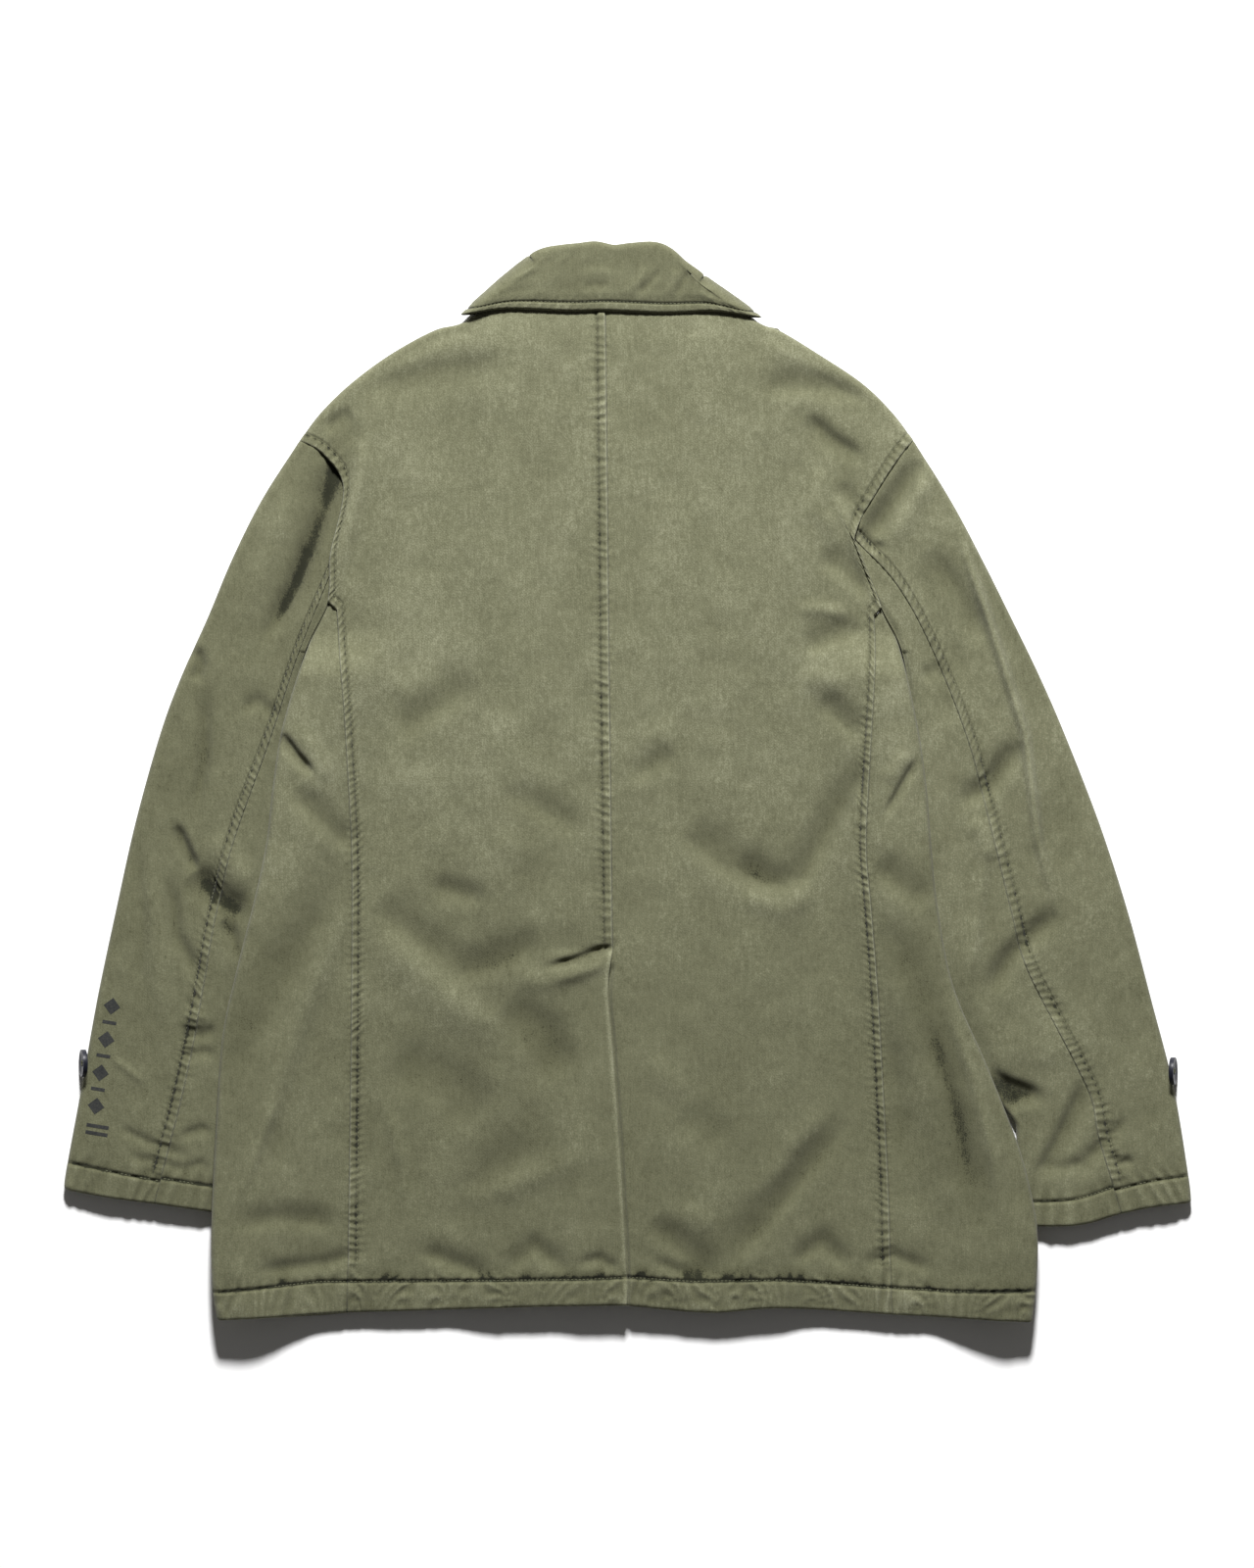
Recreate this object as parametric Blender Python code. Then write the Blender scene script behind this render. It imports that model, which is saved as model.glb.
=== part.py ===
"""A double-breasted pea coat lying flat and face down, its back upwards.

Metres, +Z up. The surface it lies on is z = 0, +Y runs from hem to collar, and
the origin is under the middle of the coat's box. Tables are in millimetres.
Each cut piece is a closed wall of cloth: a grid of outer points and a grid of
inner points, joined round the rim. The back, the sides and the collar's fall
lie on the fronts, and the sides lie on the inner edges of the sleeves.
"""
import math

import bpy
import numpy as np

MM = 0.001

# Driving sizes, in millimetres.
WALL = 4.5              # shell, wadding and lining sewn as one
COLLAR_WALL = 3.8
UNDERLAP_WALL = 2.0     # the vent's underlap is shell and facing only
SEAM_GAP = 0.3          # between pieces along a seam
LAYER_GAP = 0.5         # the least space between layers
BODY_GAP = 2.8          # the usual space between back and fronts
SLEEVE_GAP = 2.4        # the usual space inside a flat sleeve
SHOULDER_BLEND = 40.0   # the back settles on the fronts over this depth
FRONT_OVERLAP = 75.0    # each front passes the centre by this much
FRONT_OFFSET = 10.0     # the centre front lies this far to the left
STEP_CLEAR = 24.0       # the right front is up before it meets the left one
OVERLAP_RAMP = 45.0
VENT_TOP = -127.0
VENT_LENGTH = 272.0
VENT_ROWS = (0.32, 0.56, 0.8, 0.98, 1.0)  # shares of its length, above the hem
UNDERLAP_WIDTH = 38.0
UNDERLAP_SHARE = 0.166  # of the right back's width at the hem
UNDERLAP_STEP = 0.009    # the share over which it steps down
UNDERLAP_DROP = 4.4
VENT_TOP_COLUMNS = (5.0, 2.5)  # these points draw in beside the seam's end
VENT_TOP_RAMP = 18.0
VENT_RAISE = 2.2
HEM_BAND = 22.0
CUFF_BAND = 20.0
ROW_ABOVE_BAND = 1.5    # above the groove, where the cloth is level again
GROOVE_DEPTH = 1.2      # the stitched groove above a hem or cuff band
GROOVE_WIDTH = 3.0
BAND_RISE = 0.8         # the filled band stands this much proud
SLEEVE_LIFT = 12.0      # the body's sides ride this high over the sleeves
HEM_LIFT = {"left": 15.0, "right": 13.0}
LIFT_FULL = 24.0        # from the side edge, how far the lift is whole
LIFT_END = 84.0         # and where it has come down to nothing
BUTTON_DIAMETER = 21.0
BUTTON_THICKNESS = 3.5
BUTTON_TILT = math.radians(15.0)
BUTTON_SHIFT = 3.2      # up the tilted face, so that it clears the surface
BUTTON_GAP = 0.8

# Outlines seen from above: columns x, y. Each runs from hem to shoulder.
CENTRE_SEAM = ((-11.8, -126.5), (-12.9, -47.0), (-14.4, 73.0), (-15.9, 223.0),
               (-17.4, 358.0), (-18.2, 373.0))
VENT_EDGE = ((-0.9, -400.8), (-0.9, -377.0), (-5.4, -294.0), (-11.4, -208.0),
             (-15.2, -159.0), (-11.9, -129.0))
PRINCESS_SEAM = {
    "left": ((-215.4, -406.8), (-213.9, -302.0), (-212.4, -189.0), (-211.7, -77.0),
             (-213.2, -24.0), (-217.4, 51.0), (-221.5, 103.0), (-223.5, 131.0)),
    "right": ((202.3, -408.3), (200.8, -367.0), (198.6, -296.5), (191.8, -172.0),
              (185.8, -97.0), (182.1, -53.5), (183.6, -8.0), (187.3, 59.0),
              (189.1, 98.7), (188.5, 126.5)),
}
SIDE_EDGE = {
    "left": ((-314.4, -411.7), (-318.2, -384.3), (-318.9, -339.3), (-315.9, -271.8),
             (-310.7, -196.8), (-300.9, -149.5), (-285.9, -89.5), (-276.9, -46.8),
             (-271.7, -1.8), (-264.2, 43.2), (-245.5, 103.2), (-231.0, 131.0)),
    "right": ((308.8, -413.3), (312.6, -376.8), (312.6, -339.3), (305.1, -301.8),
              (296.1, -271.8), (274.3, -217.0), (248.8, -157.0), (236.8, -97.0),
              (231.6, -46.8), (227.8, -1.8), (221.1, 43.2), (207.5, 103.2),
              (196.0, 126.5)),
}
FRONT_SEAM = {
    "left": ((-236.0, -409.5), (-238.0, -302.0), (-228.0, -150.0), (-205.0, -20.0),
             (-210.0, 60.0), (-219.0, 105.0), (-223.5, 131.0)),
    "right": ((230.0, -410.5), (232.0, -302.0), (205.0, -150.0), (170.0, -20.0),
              (176.0, 60.0), (184.0, 100.0), (188.5, 126.5)),
}
# From the underarm up to the back seam of the sleeve, and on to the shoulder tip.
ARMHOLE_LOW = {
    "left": ((-230.5, 137.0), (-229.2, 147.0), (-228.9, 157.2)),
    "right": ((194.5, 131.7), (187.3, 151.2), (173.1, 185.7)),
}
ARMHOLE_HIGH = {
    "left": ((-228.9, 157.2), (-228.2, 175.2), (-218.4, 224.0), (-232.7, 249.5),
             (-252.2, 261.5)),
    "right": ((173.1, 185.7), (178.3, 200.7), (191.1, 222.5), (206.1, 245.7),
              (218.8, 261.5)),
}
SHOULDER = {
    "left": ((-252.2, 261.5), (-235.7, 283.2), (-212.4, 305.7), (-181.7, 328.2),
             (-149.0, 346.0), (-128.0, 351.5), (-104.0, 365.5), (-62.0, 371.0),
             (-18.2, 373.0)),
    "right": ((218.8, 261.5), (202.3, 283.2), (179.1, 305.7), (145.3, 328.2),
              (117.0, 345.0), (102.0, 350.5), (80.0, 363.5), (40.0, 371.5),
              (-18.2, 373.0)),
}
SLEEVE_OUTER = {
    "left": ((-252.2, 261.5), (-281.4, 215.7), (-303.9, 170.7), (-322.7, 125.7),
             (-342.9, 80.7), (-359.4, 35.7), (-378.2, -31.8), (-393.2, -99.3),
             (-407.4, -166.8), (-419.4, -234.3), (-431.8, -301.8), (-431.4, -313.0)),
    "right": ((218.8, 261.5), (247.3, 215.7), (271.3, 170.7), (293.8, 125.7),
              (315.6, 80.7), (335.1, 35.7), (361.3, -31.8), (383.1, -99.3),
              (401.1, -166.8), (418.3, -234.3), (429.6, -301.8), (431.8, -322.8)),
}
SLEEVE_BACK_SEAM = {
    "left": ((-228.9, 157.2), (-252.9, 97.2), (-274.7, 31.2), (-302.4, -46.8),
             (-316.7, -106.8), (-330.2, -184.8), (-341.4, -239.5), (-352.7, -283.8),
             (-363.2, -323.5)),
    "right": ((173.1, 185.7), (206.1, 149.7), (233.1, 100.2), (260.1, 31.2),
              (276.6, -31.8), (293.1, -99.3), (303.6, -139.8), (322.3, -178.0),
              (344.8, -221.5), (355.3, -245.5), (360.6, -273.3), (377.8, -331.0)),
}
SLEEVE_INNER = {
    "left": ((-230.5, 137.0), (-239.5, 130.0), (-251.0, 101.0), (-260.0, 68.7),
             (-260.4, 35.7), (-259.7, -1.8), (-261.9, -46.8), (-268.7, -91.8),
             (-282.9, -151.8), (-290.4, -196.8), (-297.2, -264.3), (-300.2, -332.5)),
    "right": ((194.5, 131.7), (203.8, 127.0), (211.8, 101.0), (217.0, 68.7),
              (217.3, 35.7), (217.3, -1.8), (219.6, -46.8), (222.6, -91.8),
              (233.0, -140.5), (254.0, -189.3), (277.0, -223.0), (297.5, -256.8),
              (298.5, -294.3), (299.1, -340.8)),
}
COLLAR_EDGE = ((-121.0, 358.0), (-93.0, 361.5), (-46.7, 359.7), (-18.0, 360.0),
               (28.0, 358.2), (65.0, 359.6), (95.0, 356.0))
COLLAR_FOLD = ((-68.0, 400.5), (-57.9, 405.5), (-24.9, 408.8), (-11.4, 406.2),
               (18.6, 408.5), (34.0, 404.5), (48.0, 392.0))

# Folds that lie high or low: columns x0, y0, x1, y1, half width, height.
BODY_FOLDS = (
    (-203, 302, -95, 330, 15, -1.5), (-190, 272, -160, 250, 22, 2.0),
    (100, 322, 172, 300, 15, -1.5), (134, 283, 172, 256, 9, -1.5),
    (122, 262, 160, 240, 11, 3.0), (145, 166, 181, 148, 8, -1.5),
    (128, 186, 168, 172, 9, 3.0), (130, 140, 156, 106, 10, -1.5),
    (-181, 43, -121, 73, 16, -1.4), (-165, 15, -95, 40, 18, 1.6),
    (44, -47, 112, -80, 11, -1.6), (122, -78, 176, 0, 10, -1.6),
    (62, -26, 116, -54, 12, 3.4), (120, -50, 152, 8, 10, 3.4),
    (-121, -154, -66, -124, 10, -1.6), (-118, -128, -72, -104, 11, 2.6),
    (-180, -206, -146, -240, 13, -1.5), (-146, -244, -164, -302, 13, -1.5),
    (-120, -215, -128, -300, 20, 2.2), (170, -264, 116, -306, 13, -1.6),
    (112, -308, 84, -372, 11, -1.5), (150, -300, 118, -358, 14, 2.8),
    (78, -268, 44, -336, 16, 2.4), (-225, -70, -300, -190, 12, -1.5),
    (-262, -70, -276, -150, 10, 2.0), (-235, -260, -268, -335, 8, 2.0),
    (193, -80, 236, -186, 11, -1.6), (238, -190, 262, -330, 11, -1.6),
    (62, 28, 12, 8, 12, -1.2), (-150, -90, -118, -82, 10, -1.2),
)
SLEEVE_FOLDS = (
    (-240, 228, -243, 196, 8, -1.8), (-246, 190, -280, 112, 9, -1.8),
    (-262, 226, -286, 150, 12, 2.2), (-330, 90, -346, -10, 9, 2.0),
    (-347, -32, -331, -76, 8, -1.8), (-328, -80, -294, -108, 9, -1.8),
    (-322, -50, -296, -86, 9, 3.4), (-352, -84, -340, -146, 10, -1.5),
    (-372, -60, -380, -200, 11, 1.6), (-342, -192, -318, -206, 8, -1.5),
    (-344, -282, -318, -296, 8, 1.8),
    (218, 240, 186, 190, 9, -1.8), (232, 246, 268, 150, 8, 3.6),
    (270, 146, 306, 30, 8, 3.6), (307, 26, 328, -100, 8, 3.2),
    (222, 178, 270, 106, 12, -1.5), (299, 39, 262, -10, 9, -1.8),
    (270, -22, 250, -52, 10, 3.0), (316, -62, 302, -118, 9, -1.7),
    (296, -124, 278, -158, 8, -1.5), (242, -112, 256, -180, 8, -1.8),
    (352, -262, 316, -300, 9, -1.7), (366, -238, 342, -260, 8, 2.2),
)

# Grid sizes: spaces between the points of one piece.
HEM_ROWS = 4            # edge, band, groove and the row above it
SIDE_ROWS = 12
BACK_COLUMNS = 12
FRONT_COLUMNS = 12
SIDE_TOP_COLUMNS = 5
SIDE_UNDER_COLUMNS = 5
SLEEVE_ROWS = 18
UPPER_COLUMNS = 6
UNDER_COLUMNS = 3
FRONT_SEAM_COLUMN = 1   # the under sleeve takes this many columns underneath
ARC_STEPS = 4
COLLAR_BACK_SECTIONS = 13
COLLAR_TURN_STEPS = 4
COLLAR_FRONT_SECTIONS = 5

CLOTH_COLOUR = (0.205, 0.212, 0.125, 1.0)
COLLAR_COLOUR = (0.215, 0.222, 0.132, 1.0)
BUTTON_COLOUR = (0.008, 0.009, 0.014, 1.0)


# Lines and grids in the plane.

def smooth_line(points, fractions):
    """Points at fractions of the length of a smooth line through points."""
    knots = np.array(points, dtype=float)
    padded = np.vstack((2 * knots[0] - knots[1], knots, 2 * knots[-1] - knots[-2]))
    samples = []
    for i in range(len(knots) - 1):
        p0, p1, p2, p3 = padded[i:i + 4]
        for t in np.linspace(0.0, 1.0, 12, endpoint=False):
            samples.append(0.5 * (2 * p1 + (p2 - p0) * t
                                  + (2 * p0 - 5 * p1 + 4 * p2 - p3) * t ** 2
                                  + (3 * p1 - p0 - 3 * p2 + p3) * t ** 3))
    samples.append(knots[-1])
    samples = np.array(samples)
    steps = np.hypot(*np.diff(samples, axis=0).T)
    length = np.concatenate(([0.0], np.cumsum(steps)))
    at = np.asarray(fractions) * length[-1]
    return np.column_stack([np.interp(at, length, samples[:, k]) for k in (0, 1)])


def even(count):
    """Fractions from 0 to 1 in count equal steps."""
    return np.linspace(0.0, 1.0, count + 1)


def share(line):
    """Each point's share of a line's length."""
    steps = np.hypot(*np.diff(line, axis=0).T)
    total = np.concatenate(([0.0], np.cumsum(steps)))
    return total / total[-1]


def patch(low, high, first, last, columns=None):
    """A grid of points between four lines: rows from low to high."""
    if columns is None:
        columns = 0.5 * (share(low) + share(high))
    u = columns[None, :, None]
    v = (0.5 * (share(first) + share(last)))[:, None, None]
    across = (1 - u) * first[:, None] + u * last[:, None]
    along = (1 - v) * low[None] + v * high[None]
    corners = ((1 - u) * (1 - v) * low[0] + u * (1 - v) * low[-1]
               + (1 - u) * v * high[0] + u * v * high[-1])
    return across + along - corners


# Heights of the cloth.

def ease(t):
    """A soft step from 0 to 1 while t goes from 0 to 1."""
    t = np.clip(t, 0.0, 1.0)
    return t * t * (3 - 2 * t)


def line_x(points, y):
    """The x of a line that climbs in y."""
    table = np.array(points)
    return np.interp(y, table[:, 1], table[:, 0])


def lift(x, y):
    """How high the lower layer of the body stands where it rides on a sleeve."""
    height = np.zeros_like(x)
    for side, sign in (("left", -1), ("right", 1)):
        from_edge = sign * (line_x(SIDE_EDGE[side], y) - x)
        near = 1 - ease((from_edge - LIFT_FULL) / (LIFT_END - LIFT_FULL))
        below_arm = ease((118.0 - y) / 40.0)
        to_hem = ease((-250.0 - y) / 150.0)
        peak = SLEEVE_LIFT + (HEM_LIFT[side] - SLEEVE_LIFT) * to_hem
        height = np.maximum(height, peak * near * below_arm)
    return height


def fold_height(x, y, folds):
    """The sum of the soft ridges and troughs of a table."""
    total = np.zeros_like(x)
    for x0, y0, x1, y1, half_width, height in folds:
        run = np.array((x1 - x0, y1 - y0), dtype=float)
        t = ((x - x0) * run[0] + (y - y0) * run[1]) / run.dot(run)
        nearest = np.clip(t, 0.0, 1.0)
        away = np.hypot(x - x0 - nearest * run[0], y - y0 - nearest * run[1])
        total += height * np.exp(-(away / half_width) ** 2)
    return total


def overlap_height(x):
    """How much the second front raises what lies on it, across the centre."""
    right = FRONT_OVERLAP - FRONT_OFFSET + STEP_CLEAR + 16.0
    left = FRONT_OVERLAP + FRONT_OFFSET + 12.0
    inside = (1 - ease((x - right) / OVERLAP_RAMP)) * (1 - ease((-left - x) / OVERLAP_RAMP))
    return (WALL + LAYER_GAP) * inside


def shoulder_depth(x, y):
    """How far a point lies below the shoulder line."""
    left = np.array(SHOULDER["left"])
    right = np.array(SHOULDER["right"])[-2::-1]
    line = np.vstack((left, right))
    return np.interp(x, line[:, 0], line[:, 1]) - y


def body_top(x, y):
    """The outer face of the back and of the sides."""
    gap = LAYER_GAP + (BODY_GAP - LAYER_GAP) * ease(shoulder_depth(x, y) / SHOULDER_BLEND)
    folds = fold_height(x, y, BODY_FOLDS) * ease((shoulder_depth(x, y) - 6) / 30)
    lowest = lift(x, y) + overlap_height(x) + 2 * WALL + LAYER_GAP
    return np.maximum(lowest - LAYER_GAP + gap + folds, lowest)


def sleeve_top(x, y):
    """The outer face of a sleeve, flatter where the body lies on it."""
    folds = fold_height(x, y, SLEEVE_FOLDS)
    clear = np.ones_like(x)
    for side, sign in (("left", -1), ("right", 1)):
        beyond = sign * (x - line_x(SIDE_EDGE[side], y))
        beside = np.where(y > 100.0, 40.0, beyond)
        clear = np.where(sign * x > 0, ease((beside - 2) / 16), clear)
    gap = 1.0 + (SLEEVE_GAP - 1.0) * clear
    return 2 * WALL + np.maximum(gap + folds * clear, LAYER_GAP)


# Solids.

def cloth_material(name, colour, roughness):
    material = bpy.data.materials.new(name)
    material.use_nodes = True
    shader = material.node_tree.nodes["Principled BSDF"]
    shader.inputs["Base Color"].default_value = colour
    shader.inputs["Roughness"].default_value = roughness
    shader.inputs["Metallic"].default_value = 0.0
    return material


def add_object(name, points, faces, material):
    """One object from points in millimetres, its faces turned outwards."""
    points = np.asarray(points) * MM
    volume = 0.0
    for face in faces:
        for i in range(1, len(face) - 1):
            a, b, c = points[face[0]], points[face[i]], points[face[i + 1]]
            volume += np.dot(a, np.cross(b, c))
    if volume < 0:
        faces = [tuple(reversed(face)) for face in faces]
    mesh = bpy.data.meshes.new(name)
    mesh.from_pydata(points.tolist(), [], faces)
    mesh.shade_smooth()
    mesh.set_sharp_from_angle(angle=math.radians(50))
    mesh.materials.append(material)
    thing = bpy.data.objects.new(name, mesh)
    bpy.context.collection.objects.link(thing)
    return thing


def closed_wall(name, outer, inner, material):
    """A wall of cloth from two grids of points, closed round its rim."""
    rows, columns = outer.shape[:2]
    count = rows * columns

    def at(row, column, layer):
        return layer * count + row * columns + column

    faces = []
    for row in range(rows - 1):
        for column in range(columns - 1):
            quad = ((row, column), (row, column + 1), (row + 1, column + 1),
                    (row + 1, column))
            faces.append(tuple(at(r, c, 0) for r, c in quad))
            faces.append(tuple(at(r, c, 1) for r, c in reversed(quad)))
    rim = [(0, c) for c in range(columns - 1)]
    rim += [(r, columns - 1) for r in range(rows - 1)]
    rim += [(rows - 1, c) for c in range(columns - 1, 0, -1)]
    rim += [(r, 0) for r in range(rows - 1, 0, -1)]
    for start, end in zip(rim, rim[1:] + rim[:1]):
        faces.append((at(*end, 0), at(*start, 0), at(*start, 1), at(*end, 1)))
    points = np.vstack((outer.reshape(-1, 3), inner.reshape(-1, 3)))
    return add_object(name, points, faces, material)


def raised(plane, height):
    """Points of a plane grid lifted to a height."""
    return np.dstack((plane, np.broadcast_to(height, plane.shape[:2])))


def band_height(rows_from_edge, band):
    """The groove above a hem or cuff band and the filled band below it."""
    height = np.zeros(len(rows_from_edge))
    height[rows_from_edge < band - GROOVE_WIDTH / 2] = BAND_RISE
    height[np.abs(rows_from_edge - band) < GROOVE_WIDTH / 2] = -GROOVE_DEPTH
    return height


def hem_fractions(length):
    """Fractions of a long seam: close rows at the hem band, then even ones."""
    near = np.array((0.0, HEM_BAND / 2, HEM_BAND - GROOVE_WIDTH, HEM_BAND,
                     HEM_BAND + GROOVE_WIDTH + ROW_ABOVE_BAND)) / length
    return np.concatenate((near, near[-1] + (1 - near[-1]) * even(SIDE_ROWS)[1:]))


def wrapped_edge(top, under, edge, top_height, under_height):
    """Outer and inner points of one row that turns round a soft edge.

    top and under are plane points that run towards the edge and away from it,
    edge is the outermost point, and the heights are those of the outer faces.
    """
    radius = 0.5 * (top_height[-1] - under_height[0])
    middle = 0.5 * (top_height[-1] + under_height[0])
    outward = (edge - top[-2]) / np.hypot(*(edge - top[-2]))
    centre = edge - radius * outward
    top = top.copy()
    under = under.copy()
    top[-1] = centre
    under[0] = centre
    outer = [(*p, z) for p, z in zip(top, top_height)]
    inner = [(*p, z - WALL) for p, z in zip(top, top_height)]
    for step in range(1, ARC_STEPS):
        angle = math.pi * (0.5 - step / ARC_STEPS)
        reach = np.array((*(math.cos(angle) * outward), math.sin(angle)))
        outer.append(np.array((*centre, middle)) + radius * reach)
        inner.append(np.array((*centre, middle)) + (radius - WALL) * reach)
    outer += [(*p, z) for p, z in zip(under, under_height)]
    inner += [(*p, z + WALL) for p, z in zip(under, under_height)]
    return outer, inner


# The body.

def armhole_line(side):
    """The armhole from the underarm to the shoulder tip, as all its pieces see it."""
    low = smooth_line(ARMHOLE_LOW[side], even(UNDER_COLUMNS))
    high = smooth_line(ARMHOLE_HIGH[side], even(UPPER_COLUMNS))
    return np.vstack((low, high[1:]))


def side_line(seam):
    """A long seam from the hem to the underarm."""
    length = seam[-1][1] - seam[0][1]
    return smooth_line(seam, hem_fractions(length))


def centre_line(rows):
    """The centre back from hem to neck, with a row at the top of the vent."""
    near_hem = hem_fractions(VENT_LENGTH)[:HEM_ROWS + 1]
    vent = smooth_line(VENT_EDGE, np.concatenate((near_hem, VENT_ROWS)))
    above = smooth_line(CENTRE_SEAM, even(rows - len(vent) - 1))
    return np.vstack((vent, above))


def make_back(side, material):
    sign = -1 if side == "left" else 1
    first = np.vstack((side_line(PRINCESS_SEAM[side]), armhole_line(side)[1:]))
    last = centre_line(len(first))
    first[:, 0] -= sign * SEAM_GAP / 2
    last[:, 0] += sign * SEAM_GAP / 2
    vent_rows = last[:, 1] < VENT_TOP
    if side == "right":
        seam_row = np.count_nonzero(vent_rows) - 1
        last[:seam_row, 0] -= UNDERLAP_WIDTH
    hem = (first[0], 0.5 * (first[0] + last[0]) + (0.0, 1.0), last[0])
    columns = even(BACK_COLUMNS)
    if side == "right":
        tuck = 1 - UNDERLAP_SHARE
        columns = np.concatenate((tuck * even(BACK_COLUMNS - 2),
                                  (tuck + UNDERLAP_STEP, 1.0)))
    low = smooth_line(hem, columns)
    high = smooth_line(SHOULDER[side], columns)
    high[0] = first[-1]
    high[-1] = last[-1]
    plane = patch(low, high, first, last, columns)
    if side == "right":
        plane[seam_row, -3:-1, 0] = last[seam_row, 0] + np.array(VENT_TOP_COLUMNS)
    top = body_top(plane[..., 0], plane[..., 1])
    from_hem = first[:, 1] - first[0, 1]
    band = np.broadcast_to(band_height(from_hem, HEM_BAND)[:, None], top.shape)
    wall = np.full(top.shape, WALL)
    if side == "right":
        beneath = np.arange(BACK_COLUMNS + 1) >= BACK_COLUMNS - 1
        tucked = beneath[None, :] & vent_rows[:, None]
        tucked[seam_row, :-1] = False
        top[~tucked] += band[~tucked]
        top[tucked] -= UNDERLAP_DROP
        wall[tucked] = UNDERLAP_WALL
    else:
        past = line_x(VENT_EDGE, plane[..., 1]) - plane[..., 0]
        near = 1 - ease((past - UNDERLAP_WIDTH) / VENT_TOP_RAMP)
        covered = ease((VENT_TOP + 4.0 - plane[..., 1]) / 10.0)
        top += band + VENT_RAISE * near * covered
    outer = raised(plane, top)
    inner = raised(plane, top - wall)
    return closed_wall(f"back_{side}", outer, inner, material)


def make_side(side, material):
    sign = -1 if side == "left" else 1
    back = side_line(PRINCESS_SEAM[side])
    front = side_line(FRONT_SEAM[side])
    edge = side_line(SIDE_EDGE[side])
    back[:, 0] += sign * SEAM_GAP / 2
    front[:, 0] += sign * SEAM_GAP / 2
    band = band_height(back[:, 1] - back[0, 1], HEM_BAND)
    rows_out, rows_in = [], []
    for row, turn in enumerate(edge):
        across = even(SIDE_TOP_COLUMNS)[:, None]
        inset = np.array((-sign * 6.0, 0.0))
        top = back[row] + across * (turn + inset - back[row])
        across = even(SIDE_UNDER_COLUMNS)[:, None]
        under = turn + inset + across * (front[row] - turn - inset)
        top_height = body_top(top[:, 0], top[:, 1]) + band[row]
        under_height = lift(under[:, 0], under[:, 1])
        outer, inner = wrapped_edge(top, under, turn, top_height, under_height)
        rows_out.append(outer)
        rows_in.append(inner)
    return closed_wall(f"side_{side}", np.array(rows_out), np.array(rows_in), material)


def make_front(side, material):
    """A front, flat on the surface; the right one steps up over the left."""
    sign = -1 if side == "left" else 1
    first = np.vstack((side_line(FRONT_SEAM[side]), armhole_line(side)[1:]))
    first[:, 0] -= sign * SEAM_GAP / 2
    reach = -sign * FRONT_OVERLAP - FRONT_OFFSET
    front_edge = ((reach, -404.0), (reach, -100.0), (reach, 349.0))
    last = smooth_line(front_edge, share(first))
    shoulder = [p for p in SHOULDER[side] if p[1] < 348.0]
    neck = ((shoulder[-1][0] * 0.8, 349.0), (reach, 349.0))
    columns = even(FRONT_COLUMNS)
    low = smooth_line((first[0], last[0]), columns)
    high = smooth_line((*shoulder, *neck), columns)
    high[0] = first[-1]
    plane = patch(low, high, first, last, columns)
    under = lift(plane[..., 0], plane[..., 1])
    if side == "right":
        past = plane[..., 0] - (FRONT_OVERLAP - FRONT_OFFSET) - STEP_CLEAR
        under = under + (WALL + LAYER_GAP) * (1 - np.clip(past / OVERLAP_RAMP, 0, 1))
    outer = raised(plane, under)
    inner = raised(plane, under + WALL)
    return closed_wall(f"front_{side}", outer, inner, material)


# The sleeves.

SLEEVE_LENGTHS = {"inner": 480.0, "seam": 505.0, "outer": 605.0}


def sleeve_rows(length):
    """Fractions of a sleeve from armhole to cuff, close at the cuff band."""
    near = 1 - np.array((CUFF_BAND + GROOVE_WIDTH + ROW_ABOVE_BAND, CUFF_BAND,
                         CUFF_BAND - GROOVE_WIDTH, CUFF_BAND / 2, 0.0)) / length
    return np.concatenate((near[0] * even(SLEEVE_ROWS), near[1:]))


def sleeve_grid(side):
    """The plane grid of a whole sleeve: columns from inner edge to outer edge."""
    sign = -1 if side == "left" else 1
    inner = smooth_line(SLEEVE_INNER[side], sleeve_rows(SLEEVE_LENGTHS["inner"]))
    seam = smooth_line(SLEEVE_BACK_SEAM[side], sleeve_rows(SLEEVE_LENGTHS["seam"]))
    outer = smooth_line(SLEEVE_OUTER[side], sleeve_rows(SLEEVE_LENGTHS["outer"]))
    arm = armhole_line(side) + (sign * 2 * SEAM_GAP, 0.0)
    low_arm, high_arm = arm[:UNDER_COLUMNS + 1], arm[UNDER_COLUMNS:]
    inner[0], seam[0], outer[0] = arm[0], arm[UNDER_COLUMNS], arm[-1]
    low_cuff = smooth_line((inner[-1], seam[-1]), even(UNDER_COLUMNS))
    high_cuff = smooth_line((seam[-1], outer[-1]), even(UPPER_COLUMNS))
    under = patch(low_arm, low_cuff, inner, seam)
    upper = patch(high_arm, high_cuff, seam, outer)
    return under, upper


def sleeve_band():
    """Band and groove heights of a sleeve's rows."""
    length = SLEEVE_LENGTHS["seam"]
    from_cuff = (1 - sleeve_rows(length)) * length
    return band_height(from_cuff, CUFF_BAND)


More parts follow.
